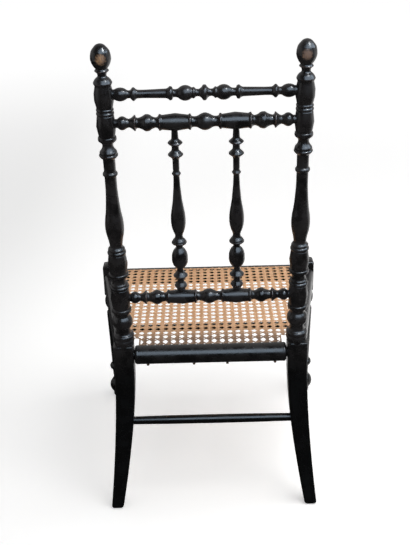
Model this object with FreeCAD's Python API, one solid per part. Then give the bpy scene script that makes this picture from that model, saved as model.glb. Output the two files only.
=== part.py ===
import FreeCAD, Part
import math
import os

from FreeCAD import Vector

# A child's chair with a turned spindle back, sabre back legs and a caned seat.
# Lengths are millimetres. +Z is up, the sitter faces -Y and the sitter's left is +X.
# Places are first worked out from the back posts' axes at seat height, and at the end
# the whole chair moves so that its origin is the middle of its footprint on the floor.

# Overall sizes
TOTAL_HEIGHT = 700.0
SEAT_HEIGHT = 255.0
SEAT_DEPTH = 281.0
BACK_SPREAD = 252.6
FRONT_SPREAD = 347.0
BACK_LEAN = 44.5

# Joints: what a mortise is larger than its tenon, and how far tenons stop short of an axis
JOINT_FIT = 0.1
TENON_STOP = 2.0

# Back posts: a turned stile over a square sabre leg, cut from one length of wood
POST_RADIUS = 15.5
STILE_START = 7.0
STILE_ROOT = 5.0
LEG_OFFSET = 1.6
LEG_TOP_WIDTH = 29.4
LEG_FOOT_WIDTH = 18.2
LEG_STRAIGHT = 37.0
LEG_SWEEP = 44.0
LEG_SPLAY = 21.0
LEG_EASE = 4.0
LEG_CURVE_POWER = 1.65
LEG_SECTION_SHARES = (1.0, 0.75, 0.5, 0.25, 0.0)

# Rails and spindles of the back
BACK_RAIL_RADIUS = 11.1
BACK_RAIL_TENON = 4.6
BACK_RAIL_INSET = 14.3
CREST_RAIL_RADIUS = 10.0
CREST_RAIL_TENON = 4.2
SPINDLE_SPREAD = 79.0
SPINDLE_RADIUS = 10.4
SPINDLE_TENON = 3.6

# Seat frame
SIDE_RAIL_HEIGHT = 30.0
SIDE_RAIL_REAR_WIDTH = 29.0
SIDE_RAIL_INNER_REACH = 29.7
SIDE_RAIL_OUTER_REACH = 11.5
SIDE_RAIL_ROUND = 9.0
SIDE_TENON_WIDTH = 10.0
SIDE_TENON_HEIGHT = 18.0
SIDE_TENON_REAR_LENGTH = 12.0
SIDE_TENON_FRONT_LENGTH = 8.0
SIDE_TENON_REAR_SHIFT = 5.5
FRONT_RAIL_DEPTH = 19.0
FRONT_RAIL_HEIGHT = 24.0
FRONT_RAIL_SETBACK = 3.5
FRONT_RAIL_ROUND = 2.5
FRONT_TENON_DEPTH = 9.0
FRONT_TENON_HEIGHT = 15.0
FRONT_TENON_LENGTH = 12.0
FRONT_TENON_SETBACK = 4.5
ROLLER_RADIUS = 14.0
ROLLER_END_RADIUS = 12.0
ROLLER_TENON = 7.5
ROLLER_DROP = 0.3
ROLLER_FORWARD = 1.5
ROLLER_SHOULDER = 4.0
ROLLER_END_GAP = 1.5

# Front legs: a square block with a domed top over a turned leg
BLOCK_WIDTH = 24.6
BLOCK_DROP = 43.0
BLOCK_RISE = 15.5
BLOCK_DOME_RADIUS = 33.5
FRONT_LEG_RADIUS = 16.0

# Stretchers
BACK_STRETCHER_HEIGHT = 133.0
FRONT_STRETCHER_HEIGHT = 137.0
SIDE_STRETCHER_HEIGHT = 152.5
STRETCHER_RADIUS = 6.8
STRETCHER_TENON = 5.8

# Caned seat
CANE_THICKNESS = 1.0
CANE_PITCH = 19.0
CANE_STRAND = 4.6
CANE_LINE_INSET = 6.0
CANE_EDGE = 2.0
CANE_CORNER = 12.0
CANE_FRONT_LAP = 9.0
CANE_CORNER_GAP = 8.0
CANE_CORNER_DEPTH = 26.0
BINDER_WIDTH = 4.0
BINDER_THICKNESS = 1.0
PEG_LENGTH = 22.0
PEG_TOP_WIDTH = 3.8
PEG_TIP_WIDTH = 2.4
PEG_STUB = 4.0
PEG_HOLE_RADIUS = 2.8
ROLLER_PEG_SHARES = (0.376, 0.1, -0.1, -0.385)

# Where the back's rails meet the posts, as shares of the turned stile's length
LOWER_RAIL_SHARE = 0.1776
UPPER_RAIL_SHARE = 0.7683
CREST_RAIL_SHARE = 0.8541

# Outlines of the turned pieces. A row is a place along the piece, the radius there and the
# bow of the stretch that ends there: an arc's rise over its chord, outward where positive.
# Places are shares of the turned length and radii are shares of the largest radius.
STILE_FOOT_SHARES = (
    (0.000, 0.90, 0.0),
    (0.008, 0.985, 0.0),
    (0.021, 0.985, 0.0),
    (0.025, 0.90, 0.0),
    (0.029, 0.985, 0.0),
    (0.040, 0.95, 0.0),
    (0.046, 0.73, 0.0),
    (0.063, 0.655, -0.06),
)
STILE_LOWER_SHARES = (
    (0.113, 0.66, 0.21),
    (0.123, 0.70, 0.0),
    (0.130, 0.93, 0.0),
    (0.144, 0.93, 0.10),
    (0.150, 0.80, 0.0),
    (0.212, 0.82, 0.05),
    (0.218, 0.91, 0.0),
    (0.232, 0.90, 0.10),
    (0.239, 0.63, 0.0),
    (0.252, 0.64, -0.07),
    (0.257, 0.93, 0.0),
    (0.269, 0.93, 0.10),
    (0.276, 0.79, 0.0),
    (0.338, 0.77, 0.05),
)
STILE_VASE_SHARES = (
    (0.3635, 0.7, 0.145),
    (0.3737, 0.571, -0.12),
    (0.4089, 0.758, 0.0),
    (0.4634, 0.777, 0.07),
    (0.4839, 0.681, 0.0),
    (0.5179, 0.584, 0.0),
    (0.5634, 0.5065, 0.0),
    (0.6009, 0.5, 0.0),
    (0.6247, 0.515, 0.19),
    (0.66, 0.51, 0.0),
)
STILE_UPPER_SHARES = (
    (0.6611, 0.55, 0.0),
    (0.6702, 0.775, 0.05),
    (0.6838, 0.685, 0.166),
    (0.702, 0.452, -0.083),
    (0.7065, 0.47, 0.0),
    (0.7156, 0.705, -0.05),
    (0.7338, 0.69, 0.18),
    (0.7361, 0.69, 0.0),
    (0.7952, 0.715, 0.062),
    (0.7968, 0.675, 0.0),
    (0.8092, 0.675, 0.11),
    (0.8214, 0.675, 0.11),
    (0.8234, 0.68, 0.0),
    (0.8791, 0.69, 0.073),
    (0.8811, 0.7, 0.0),
)
STILE_FINIAL_SHARES = (
    (0.9, 0.655, 0.2),
    (0.9065, 0.42, 0.0),
    (0.9115, 0.365, -0.1),
    (0.917, 0.395, 0.0),
    (0.9245, 0.54, 0.0),
    (0.93, 0.515, 0.0),
    (0.9568, 0.84, 0.065),
    (0.9796, 0.74, 0.044),
    (0.9909, 0.5, 0.03),
    (1.0, 0.0, 1.0),
)
STILE_SHARES = (
    STILE_FOOT_SHARES
    + STILE_LOWER_SHARES
    + STILE_VASE_SHARES
    + STILE_UPPER_SHARES
    + STILE_FINIAL_SHARES
)

# The back's three rails are alike either side of their middle, where their rows begin
BACK_RAIL_SHARES = (
    (0.0, 1.0, 0.0),
    (0.036, 0.925, 0.0),
    (0.08, 0.69, 0.0),
    (0.12, 0.595, -0.06),
    (0.152, 0.655, -0.06),
    (0.165, 0.91, 0.0),
    (0.181, 0.91, 0.1),
    (0.192, 0.8, 0.0),
    (0.491, 0.83, 0.062),
    (0.509, 0.93, 0.0),
    (0.524, 0.93, 0.1),
    (0.536, 0.71, 0.0),
    (0.5625, 0.575, -0.08),
    (0.607, 0.735, -0.05),
    (0.625, 0.885, 0.0),
    (0.679, 0.965, 0.07),
    (0.732, 0.67, 0.0),
    (0.768, 0.57, 0.0),
    (0.786, 0.68, 0.0),
    (0.793, 0.9, 0.0),
    (0.805, 0.9, 0.1),
    (0.83, 0.68, 0.0),
    (0.866, 0.49, 0.0),
    (0.893, 0.575, 0.0),
    (0.911, 0.69, 0.0),
    (0.982, 0.645, 0.17),
    (1.0, 0.5, 0.0),
)
CREST_RAIL_SHARES = (
    (0.0, 1.0, 0.0),
    (0.022, 0.9, 0.0),
    (0.045, 0.58, 0.0),
    (0.07, 0.46, 0.0),
    (0.09, 0.48, 0.0),
    (0.108, 0.64, 0.0),
    (0.123, 0.735, 0.0),
    (0.137, 0.66, 0.0),
    (0.15, 0.72, -0.08),
    (0.29, 0.63, 0.19),
    (0.33, 0.495, -0.08),
    (0.348, 0.51, 0.0),
    (0.36, 0.78, -0.08),
    (0.378, 0.885, 0.03),
    (0.392, 0.875, 0.0),
    (0.405, 0.73, -0.05),
    (0.446, 0.59, -0.1),
    (0.74, 0.53, 0.0),
    (0.768, 0.66, 0.0),
    (0.785, 0.84, 0.0),
    (0.8, 0.86, 0.0),
    (0.815, 0.72, 0.0),
    (0.835, 0.5, 0.0),
    (0.868, 0.56, 0.0),
    (1.008, 0.65, 0.165),
)
SPINDLE_SHARES = (
    (0.000, 0.48, 0.0),
    (0.055, 0.56, 0.28),
    (0.072, 0.60, 0.0),
    (0.084, 0.94, 0.0),
    (0.106, 0.94, 0.10),
    (0.118, 0.70, 0.0),
    (0.153, 0.75, 0.0),
    (0.215, 0.99, 0.08),
    (0.285, 0.50, 0.10),
    (0.306, 0.54, 0.0),
    (0.315, 0.92, 0.0),
    (0.329, 0.92, 0.0),
    (0.338, 0.54, 0.0),
    (0.363, 0.51, 0.0),
    (0.424, 0.89, 0.0),
    (0.514, 0.89, 0.06),
    (0.618, 0.555, -0.02),
    (0.725, 0.40, 0.0),
    (0.749, 0.60, 0.0),
    (0.775, 0.42, 0.0),
    (0.833, 0.42, 0.0),
    (0.863, 0.92, 0.0),
    (0.888, 0.46, 0.0),
    (0.907, 0.45, 0.0),
    (0.930, 0.87, 0.0),
    (0.955, 0.43, 0.0),
    (1.000, 0.39, 0.0),
)
FRONT_LEG_SHARES = (
    (0.000, 0.66, 0.0),
    (0.020, 0.68, 0.0),
    (0.036, 0.62, 0.0),
    (0.170, 0.62, 0.22),
    (0.212, 0.59, -0.05),
    (0.262, 0.66, 0.0),
    (0.276, 0.86, 0.0),
    (0.306, 0.86, 0.0),
    (0.320, 0.63, 0.0),
    (0.812, 0.78, 0.0),
    (0.838, 0.64, 0.0),
    (0.862, 0.64, 0.0),
    (0.985, 0.68, 0.16),
    (1.000, 0.72, 0.0),
)
STRETCHER_BOW_SHARE = 0.003


def mirrored(rows):
    """Rows that run from a middle to one end, with the other half added before them."""
    places = [place for place, radius, bow in rows]
    radii = [radius for place, radius, bow in rows]
    bows = [bow for place, radius, bow in rows]
    other = [
        (-places[i], radii[i], bows[i + 1] if i + 1 < len(rows) else 0.0)
        for i in range(len(rows) - 1, 0, -1)
    ]
    first = (-places[0], radii[0], bows[1])
    return tuple(other) + (first,) + tuple(rows[1:])


def cap(start, end):
    """The arc that closes an outline over the axis, as part of a ball centred on the axis."""
    rise = end.z - start.z
    radius = (start.x * start.x + rise * rise) / (rise * 2)
    centre = Vector(0, 0, end.z - radius)
    half_angle = math.atan2(start.x, radius - rise) / 2
    middle = centre + Vector(math.sin(half_angle), 0, math.cos(half_angle)) * radius
    return Part.Arc(start, middle, end).toShape()


def stretch(start, end, bow):
    """One edge of an outline in the XZ plane: a straight line, or an arc that bows out."""
    if bow == 0:
        return Part.LineSegment(start, end).toShape()
    chord = end - start
    outward = Vector(chord.z, 0, -chord.x)
    middle = (start + end) / 2 + outward * bow
    return Part.Arc(start, middle, end).toShape()


def turned(rows, length, radius, tenon=0, reach=0):
    """A turned solid about +Z, with a straight tenon past each end where a reach is given."""
    points = [(radius * share, length * place, bow) for place, share, bow in rows]
    if reach:
        first = points[0][1]
        last = points[-1][1]
        before = [(tenon, first - reach, 0), (tenon, first, 0)]
        after = [(tenon, last, 0), (tenon, last + reach, 0)]
        points = before + points + after
    edges = []
    here = Vector(0, 0, points[0][1])
    for across, along, bow in points:
        target = Vector(across, 0, along)
        if bow and across == 0:
            edges.append(cap(here, target))
            here = target
        elif (target - here).Length > 0:
            edges.append(stretch(here, target, bow))
            here = target
    top = Vector(0, 0, here.z)
    if here.x > 0:
        edges.append(stretch(here, top, 0))
    edges.append(stretch(top, Vector(0, 0, points[0][1]), 0))
    outline = Part.Face(Part.Wire(edges))
    return outline.revolve(Vector(0, 0, 0), Vector(0, 0, 1), 360)


def bar(start, end, radius):
    """A round bar between two points."""
    along = end - start
    return Part.makeCylinder(radius, along.Length, start, along)


def block(low, high):
    """A box between its lowest and highest corners."""
    size = high - low
    return Part.makeBox(size.x, size.y, size.z, low)


def grown(low, high):
    """The mortise box for a tenon box: the fit wider on every side."""
    fit = Vector(JOINT_FIT, JOINT_FIT, JOINT_FIT)
    return block(low - fit, high + fit)


def round_mortise(start, end, tenon):
    """The bore for the round tenons at both ends of a piece whose tips are start and end."""
    along = (end - start).normalize()
    return bar(start - along * JOINT_FIT, end + along * JOINT_FIT, tenon + JOINT_FIT)


def laid_between(piece, start, end):
    """A piece made about the origin along +Z, moved so that it runs from start to end."""
    middle = (start + end) / 2
    turn = FreeCAD.Rotation(Vector(0, 0, 1), end - start)
    moved = piece.copy()
    moved.Placement = FreeCAD.Placement(middle, turn)
    return moved


def flipped(shape):
    """The same piece on the chair's other side."""
    return shape.mirror(Vector(0, 0, 0), Vector(1, 0, 0))


def raked(shape):
    """A piece of the upright back, leant back about the line of the posts at the seat."""
    leaning = shape.copy()
    angle = math.degrees(math.atan2(BACK_LEAN, TOTAL_HEIGHT - SEAT_HEIGHT))
    leaning.rotate(Vector(0, 0, SEAT_HEIGHT), Vector(1, 0, 0), -angle)
    return leaning


def back_height():
    """The posts' height above the seat, along their leaning axes."""
    return math.hypot(BACK_LEAN, TOTAL_HEIGHT - SEAT_HEIGHT)


def leg_top():
    """The height of the square leg's shoulder under the turned stile."""
    return SEAT_HEIGHT + STILE_START


def leg_fall(height):
    """How much of its bend the back leg has made at a height, from 0 to 1 at the floor."""
    bend_start = leg_top() - LEG_STRAIGHT
    if height >= bend_start:
        return 0.0
    return ((bend_start - height) / bend_start) ** LEG_CURVE_POWER


def leg_width(height):
    """The back leg's width and depth at a height."""
    return LEG_TOP_WIDTH - (LEG_TOP_WIDTH - LEG_FOOT_WIDTH) * leg_fall(height)


def leg_centre(height):
    """The middle of the left back leg at a height."""
    across = BACK_SPREAD / 2 + LEG_OFFSET + LEG_SPLAY * leg_fall(height)
    return Vector(across, LEG_SWEEP * leg_fall(height), height)


def leg_section(height):
    """The back leg's outline at a height: a square with eased corners."""
    half = leg_width(height) / 2
    ease = LEG_EASE * leg_width(height) / LEG_TOP_WIDTH
    flat = half - ease
    corners = [
        (half, -flat),
        (half, flat),
        (flat, half),
        (-flat, half),
        (-half, flat),
        (-half, -flat),
        (-flat, -half),
        (flat, -half),
    ]
    centre = leg_centre(height)
    points = [centre + Vector(x, y, 0) for x, y in corners]
    return Part.makePolygon(points + points[:1])


def front_leg_place(height):
    """A point on the left front leg's axis."""
    return Vector(FRONT_SPREAD / 2, -SEAT_DEPTH, height)


def shortened(start, end):
    """The two tips of a piece whose tenons stop short of the axes that it runs between."""
    along = (end - start).normalize()
    return start + along * TENON_STOP, end - along * TENON_STOP


def stile_height(share):
    """The height of a place on the turned stile before the post is raked."""
    start = SEAT_HEIGHT + STILE_START
    return start + (back_height() - STILE_START) * share


def back_rail_tips(share):
    """The tips of a rail of the back, on the posts that stand upright before they are raked."""
    half = BACK_SPREAD / 2
    height = stile_height(share)
    return shortened(Vector(-half, 0, height), Vector(half, 0, height))


def spindle_tips(side):
    """The tips of the spindle on one side, between the axes of its two rails."""
    across = side * SPINDLE_SPREAD / 2
    low = Vector(across, 0, stile_height(LOWER_RAIL_SHARE))
    high = Vector(across, 0, stile_height(UPPER_RAIL_SHARE))
    return shortened(low, high)


def roller_tips():
    """The tips of the round rear seat rail, between the middles of the back legs."""
    height = SEAT_HEIGHT - ROLLER_RADIUS - ROLLER_DROP
    half = BACK_SPREAD / 2
    left = Vector(half, -ROLLER_FORWARD, height)
    right = Vector(-half, -ROLLER_FORWARD, height)
    return shortened(right, left)


def back_stretcher_tips():
    """The tips of the stretcher between the back legs."""
    left = leg_centre(BACK_STRETCHER_HEIGHT)
    return shortened(Vector(-left.x, left.y, left.z), left)


def front_stretcher_tips():
    """The tips of the stretcher between the front legs."""
    left = front_leg_place(FRONT_STRETCHER_HEIGHT)
    return shortened(Vector(-left.x, left.y, left.z), left)


def side_stretcher_tips():
    """The tips of the left stretcher, from the front leg to the back leg."""
    front = front_leg_place(SIDE_STRETCHER_HEIGHT)
    return shortened(front, leg_centre(SIDE_STRETCHER_HEIGHT))


def side_tenons():
    """The corner pairs of the left side rail's tenons: into the back leg and the front block."""
    middle = SEAT_HEIGHT - SIDE_RAIL_HEIGHT / 2
    low = middle - SIDE_TENON_HEIGHT / 2
    high = middle + SIDE_TENON_HEIGHT / 2
    rear_face = -LEG_TOP_WIDTH / 2
    rear_middle = leg_centre(SEAT_HEIGHT).x + SIDE_TENON_REAR_SHIFT
    rear = (
        Vector(rear_middle - SIDE_TENON_WIDTH / 2, rear_face, low),
        Vector(rear_middle + SIDE_TENON_WIDTH / 2, rear_face + SIDE_TENON_REAR_LENGTH, high),
    )
    front_face = -SEAT_DEPTH + BLOCK_WIDTH / 2
    front_middle = FRONT_SPREAD / 2
    front = (
        Vector(front_middle - SIDE_TENON_WIDTH / 2, front_face - SIDE_TENON_FRONT_LENGTH, low),
        Vector(front_middle + SIDE_TENON_WIDTH / 2, front_face, high),
    )
    return rear, front


def front_rail_faces():
    """The front and rear faces of the front seat rail, as places along Y."""
    front = -SEAT_DEPTH - BLOCK_WIDTH / 2 + FRONT_RAIL_SETBACK
    return front, front + FRONT_RAIL_DEPTH


def front_tenon():
    """The corners of the front rail's left tenon."""
    front, rear = front_rail_faces()
    face = FRONT_SPREAD / 2 - BLOCK_WIDTH / 2
    middle = SEAT_HEIGHT - FRONT_RAIL_HEIGHT / 2
    low = Vector(face, front + FRONT_TENON_SETBACK, middle - FRONT_TENON_HEIGHT / 2)
    high = low + Vector(FRONT_TENON_LENGTH, FRONT_TENON_DEPTH, FRONT_TENON_HEIGHT)
    return low, high


def back_post():
    """The left back post, with mortises for three rails, the roller and two stretchers."""
    stile_length = back_height() - STILE_START
    stile = turned(STILE_SHARES, stile_length, POST_RADIUS)
    axis = Vector(BACK_SPREAD / 2, 0, leg_top())
    stile.translate(axis)
    root = bar(axis - Vector(0, 0, STILE_ROOT), axis, POST_RADIUS * STILE_SHARES[0][1])
    upright = stile.fuse(root)
    for share, tenon in (
        (LOWER_RAIL_SHARE, BACK_RAIL_TENON),
        (UPPER_RAIL_SHARE, BACK_RAIL_TENON),
        (CREST_RAIL_SHARE, CREST_RAIL_TENON),
    ):
        upright = upright.cut(round_mortise(*back_rail_tips(share), tenon))
    bend_start = leg_top() - LEG_STRAIGHT
    sections = [leg_section(bend_start * share) for share in LEG_SECTION_SHARES]
    sabre = Part.makeLoft(sections, True, False)
    square = Part.Face(leg_section(bend_start)).extrude(Vector(0, 0, LEG_STRAIGHT))
    post = raked(upright).fuse(square).fuse(sabre)
    post = post.cut(round_mortise(*roller_tips(), ROLLER_TENON))
    post = post.cut(round_mortise(*back_stretcher_tips(), STRETCHER_TENON))
    post = post.cut(round_mortise(*side_stretcher_tips(), STRETCHER_TENON))
    return post.cut(grown(*side_tenons()[0]))


def front_leg():
    """The left front leg, with mortises for the seat rails and two stretchers."""
    base = front_leg_place(SEAT_HEIGHT - BLOCK_DROP)
    top = front_leg_place(SEAT_HEIGHT + BLOCK_RISE)
    waist = top - Vector(0, 0, BLOCK_DOME_RADIUS)
    leg = turned(FRONT_LEG_SHARES, base.z, FRONT_LEG_RADIUS)
    leg.translate(front_leg_place(0))
    corner = Vector(BLOCK_WIDTH / 2, BLOCK_WIDTH / 2, 0)
    reach = Vector(BLOCK_DOME_RADIUS, BLOCK_DOME_RADIUS, 0)
    dome = Part.makeSphere(BLOCK_DOME_RADIUS, waist)
    under = block(base - reach, waist + reach)
    leg = leg.fuse(block(base - corner, top + corner).common(dome.fuse(under)))
    leg = leg.cut(round_mortise(*front_stretcher_tips(), STRETCHER_TENON))
    leg = leg.cut(round_mortise(*side_stretcher_tips(), STRETCHER_TENON))
    leg = leg.cut(grown(*side_tenons()[1]))
    return leg.cut(grown(*front_tenon()))


def back_rail(rows, radius, tenon, share):
    """A turned rail of the back, with a round tenon at each end."""
    start, end = back_rail_tips(share)
    visible = BACK_SPREAD / 2 - BACK_RAIL_INSET
    reach = (end - start).Length / 2 - visible * rows[-1][0]
    rail = turned(mirrored(rows), visible, radius, tenon, reach)
    return laid_between(rail, start, end)


def spindle_bores(rail):
    """A rail of the back with its two spindle mortises."""
    for side in (-1, 1):
        rail = rail.cut(round_mortise(*spindle_tips(side), SPINDLE_TENON))
    return rail


def spindle(side):
    """A turned spindle of the back."""
    start, end = spindle_tips(side)
    shoulder = BACK_RAIL_RADIUS - TENON_STOP
    length = (end - start).Length - shoulder * 2
    piece = turned(SPINDLE_SHARES, length, SPINDLE_RADIUS, SPINDLE_TENON, shoulder)
    piece.translate(start + Vector(0, 0, shoulder))
    return piece


def roller():
    """The round rear seat rail that the cane wraps over, with its peg holes."""
    start, end = roller_tips()
    half = (end - start).Length / 2
    face = leg_centre(SEAT_HEIGHT).x - LEG_TOP_WIDTH / 2 - ROLLER_END_GAP
    round_start = face - ROLLER_SHOULDER
    outline = (
        (0.0, ROLLER_RADIUS, 0),
        (round_start, ROLLER_RADIUS, 0),
        (face, ROLLER_END_RADIUS, 0),
        (face, ROLLER_TENON, 0),
        (half, ROLLER_TENON, 0),
    )
    rail = laid_between(turned(mirrored(outline), 1, 1), start, end)
    for place in roller_peg_places():
        under = place - Vector(0, 0, ROLLER_RADIUS * 2)
        rail = rail.cut(bar(under, place + Vector(0, 0, ROLLER_RADIUS), PEG_HOLE_RADIUS))
    return rail


def roller_peg_places():
    """Where the cane pegs stand in the roller: points on its axis."""
    start, end = roller_tips()
    middle = (start + end) / 2
    return [middle + (end - start) * share for share in ROLLER_PEG_SHARES]


def side_rail():
    """The left side seat rail: a tapered board notched round the front leg's block."""
    rear_y = -LEG_TOP_WIDTH / 2
    block_y = -SEAT_DEPTH + BLOCK_WIDTH / 2
    block_x = FRONT_SPREAD / 2 - BLOCK_WIDTH / 2
    rail_y = front_rail_faces()[1]
    rear_x = leg_centre(SEAT_HEIGHT).x
    half = SIDE_RAIL_REAR_WIDTH / 2
    floor = SEAT_HEIGHT - SIDE_RAIL_HEIGHT
    plan = [
        Vector(rear_x - half, rear_y, floor),
        Vector(FRONT_SPREAD / 2 - SIDE_RAIL_INNER_REACH, rail_y, floor),
        Vector(block_x, rail_y, floor),
        Vector(block_x, block_y, floor),
        Vector(FRONT_SPREAD / 2 + SIDE_RAIL_OUTER_REACH, block_y, floor),
        Vector(rear_x + half, rear_y, floor),
    ]
    board = Part.Face(Part.makePolygon(plan + plan[:1])).extrude(Vector(0, 0, SIDE_RAIL_HEIGHT))
    top_edge = [edge for edge in board.Edges if is_outer_top_edge(edge, plan[4], plan[5])]
    board = board.makeFillet(SIDE_RAIL_ROUND, top_edge)
    for low, high in side_tenons():
        board = board.fuse(block(low, high))
    return board


def is_outer_top_edge(edge, front, rear):
    """Whether an edge of the side rail lies over the outer line of its plan."""
    middle = (front + rear) / 2 + Vector(0, 0, SIDE_RAIL_HEIGHT)
    return (edge.CenterOfMass - middle).Length < JOINT_FIT


def front_rail():
    """The front seat rail, between the blocks of the front legs."""
    front, rear = front_rail_faces()
    face = FRONT_SPREAD / 2 - BLOCK_WIDTH / 2
    low = Vector(-face, front, SEAT_HEIGHT - FRONT_RAIL_HEIGHT)
    board = block(low, Vector(face, rear, SEAT_HEIGHT))
    edge_middle = Vector(0, front, SEAT_HEIGHT)
    front_edge = [e for e in board.Edges if (e.CenterOfMass - edge_middle).Length < JOINT_FIT]
    board = board.makeFillet(FRONT_RAIL_ROUND, front_edge)
    left = block(*front_tenon())
    return board.fuse(left).fuse(flipped(left))


def rod(tips):
    """A plain stretcher, a little thicker in its middle, that ends in its own tenons."""
    start, end = tips
    half = (end - start).Length / 2
    outline = ((0.0, STRETCHER_RADIUS, 0), (half, STRETCHER_TENON, STRETCHER_BOW_SHARE))
    return laid_between(turned(mirrored(outline), 1, 1), start, end)


def inner_edge(y):
    """The left side rail's inner edge at a place along Y, as a place across."""
    rear_y = -LEG_TOP_WIDTH / 2
    rear_x = leg_centre(SEAT_HEIGHT).x - SIDE_RAIL_REAR_WIDTH / 2
    front_y = front_rail_faces()[1]
    front_x = FRONT_SPREAD / 2 - SIDE_RAIL_INNER_REACH
    return rear_x + (front_x - rear_x) * (y - rear_y) / (front_y - rear_y)


def seat_outline(margin, height):
    """The caned panel's outline at a margin outside the line of holes, as a closed wire."""
    front = front_rail_faces()[1] - CANE_FRONT_LAP + CANE_EDGE - margin
    notch_y = -CANE_CORNER_DEPTH
    notch_x = leg_centre(SEAT_HEIGHT).x - LEG_TOP_WIDTH / 2 - CANE_CORNER_GAP
    rear_y = -ROLLER_FORWARD
    out = CANE_LINE_INSET + margin
    corner = Vector(inner_edge(front) + out, front, height)
    side = Vector(inner_edge(notch_y) + out, notch_y, height)
    before = corner + (side - corner).normalize() * CANE_CORNER
    after = corner - Vector(CANE_CORNER, 0, 0)
    bulge = (before + after) / 4 + corner / 2
    right_side = [Vector(-v.x, v.y, v.z) for v in (before, bulge, after)]
    rear = [
        side,
        Vector(notch_x, notch_y, height),
        Vector(notch_x, rear_y, height),
        Vector(-notch_x, rear_y, height),
        Vector(-notch_x, notch_y, height),
        Vector(-side.x, side.y, height),
    ]
    edges = [Part.LineSegment(a, b).toShape() for a, b in zip(rear, rear[1:])]
    edges.append(Part.LineSegment(rear[-1], right_side[0]).toShape())
    edges.append(Part.Arc(right_side[0], right_side[1], right_side[2]).toShape())
    edges.append(Part.LineSegment(right_side[2], after).toShape())
    edges.append(Part.Arc(after, bulge, before).toShape())
    edges.append(Part.LineSegment(before, side).toShape())
    return Part.Wire(edges)


def cane_gaps(height):
    """The square gaps of the cane between the seat rails, as closed wires."""
    half = (CANE_PITCH - CANE_STRAND) / 2
    front = front_rail_faces()[1]
    rear = -ROLLER_FORWARD - ROLLER_RADIUS
    rows = int((rear - front - CANE_STRAND) / CANE_PITCH)
    first = (front + rear) / 2 - CANE_PITCH * (rows - 1) / 2
    notch_x = leg_centre(SEAT_HEIGHT).x - LEG_TOP_WIDTH / 2 - CANE_CORNER_GAP
    wires = []
    for row in range(rows):
        y = first + CANE_PITCH * row
        limit = inner_edge(y + half)
        if y + half + CANE_STRAND > -CANE_CORNER_DEPTH:
            limit = notch_x
        columns = int((limit - CANE_STRAND - half) / CANE_PITCH)
        for column in range(-columns, columns + 1):
            x = CANE_PITCH * column
            corners = [(-half, -half), (half, -half), (half, half), (-half, half)]
            points = [Vector(x + dx, y + dy, height) for dx, dy in corners]
            wires.append(Part.makePolygon(points + points[:1]))
    return wires


def cane_seat():
    """The woven cane as one flat net that lies on the rails' tops."""
    outline = seat_outline(CANE_EDGE, SEAT_HEIGHT)
    wires = [outline] + cane_gaps(SEAT_HEIGHT)
    net = Part.Face(wires, "Part::FaceMakerBullseye")
    return net.extrude(Vector(0, 0, CANE_THICKNESS))


def cane_binder():
    """The strip of cane that covers the line of holes at the sides and the front."""
    height = SEAT_HEIGHT + CANE_THICKNESS
    rise = Vector(0, 0, BINDER_THICKNESS)
    outer = Part.Face(seat_outline(CANE_EDGE, height)).extrude(rise)
    inner = Part.Face(seat_outline(CANE_EDGE - BINDER_WIDTH, height)).extrude(rise)
    strip = outer.cut(inner)
    reach = leg_centre(SEAT_HEIGHT).x
    rear = Vector(-reach, -CANE_CORNER_DEPTH, height)
    behind = Vector(reach, 0, height + BINDER_THICKNESS)
    return strip.cut(block(rear, behind))


def cane_pegs():
    """The whittled pegs that wedge the cane in the roller's holes, as separate solids."""
    top_half = PEG_TOP_WIDTH / 2
    tip_half = PEG_TIP_WIDTH / 2
    square = ((-1, -1), (1, -1), (1, 1), (-1, 1))
    pegs = []
    for place in roller_peg_places():
        low = place - Vector(0, 0, ROLLER_RADIUS + PEG_STUB)
        high = low + Vector(0, 0, PEG_LENGTH)
        bottom = [low + Vector(x * top_half, y * top_half, 0) for x, y in square]
        top = [high + Vector(x * tip_half, y * tip_half, 0) for x, y in square]
        wires = [Part.makePolygon(bottom + bottom[:1]), Part.makePolygon(top + top[:1])]
        pegs.append(Part.makeLoft(wires, True, True))
    return Part.makeCompound(pegs)


def chair():
    """Every piece of the chair by name, before the origin is set."""
    post = back_post()
    leg = front_leg()
    rail = side_rail()
    side_rod = rod(side_stretcher_tips())
    lower = (BACK_RAIL_SHARES, BACK_RAIL_RADIUS, BACK_RAIL_TENON, LOWER_RAIL_SHARE)
    upper = (BACK_RAIL_SHARES, BACK_RAIL_RADIUS, BACK_RAIL_TENON, UPPER_RAIL_SHARE)
    crest = (CREST_RAIL_SHARES, CREST_RAIL_RADIUS, CREST_RAIL_TENON, CREST_RAIL_SHARE)
    return {
        "left_back_post": post,
        "right_back_post": flipped(post),
        "crest_rail": raked(back_rail(*crest)),
        "upper_back_rail": raked(spindle_bores(back_rail(*upper))),
        "lower_back_rail": raked(spindle_bores(back_rail(*lower))),
        "left_back_spindle": raked(spindle(1)),
        "right_back_spindle": raked(spindle(-1)),
        "rear_seat_rail": roller(),
        "front_seat_rail": front_rail(),
        "left_seat_rail": rail,
        "right_seat_rail": flipped(rail),
        "left_front_leg": leg,
        "right_front_leg": flipped(leg),
        "back_stretcher": rod(back_stretcher_tips()),
        "front_stretcher": rod(front_stretcher_tips()),
        "left_side_stretcher": side_rod,
        "right_side_stretcher": flipped(side_rod),
        "cane_seat": cane_seat(),
        "cane_binder": cane_binder(),
        "cane_pegs": cane_pegs(),
    }


def origin_shift(pieces):
    """The move that puts the middle of the footprint at the origin."""
    rear = pieces["left_back_post"].optimalBoundingBox(False).YMax
    front = pieces["left_front_leg"].optimalBoundingBox(False).YMin
    return Vector(0, -(front + rear) / 2, 0)


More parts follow.
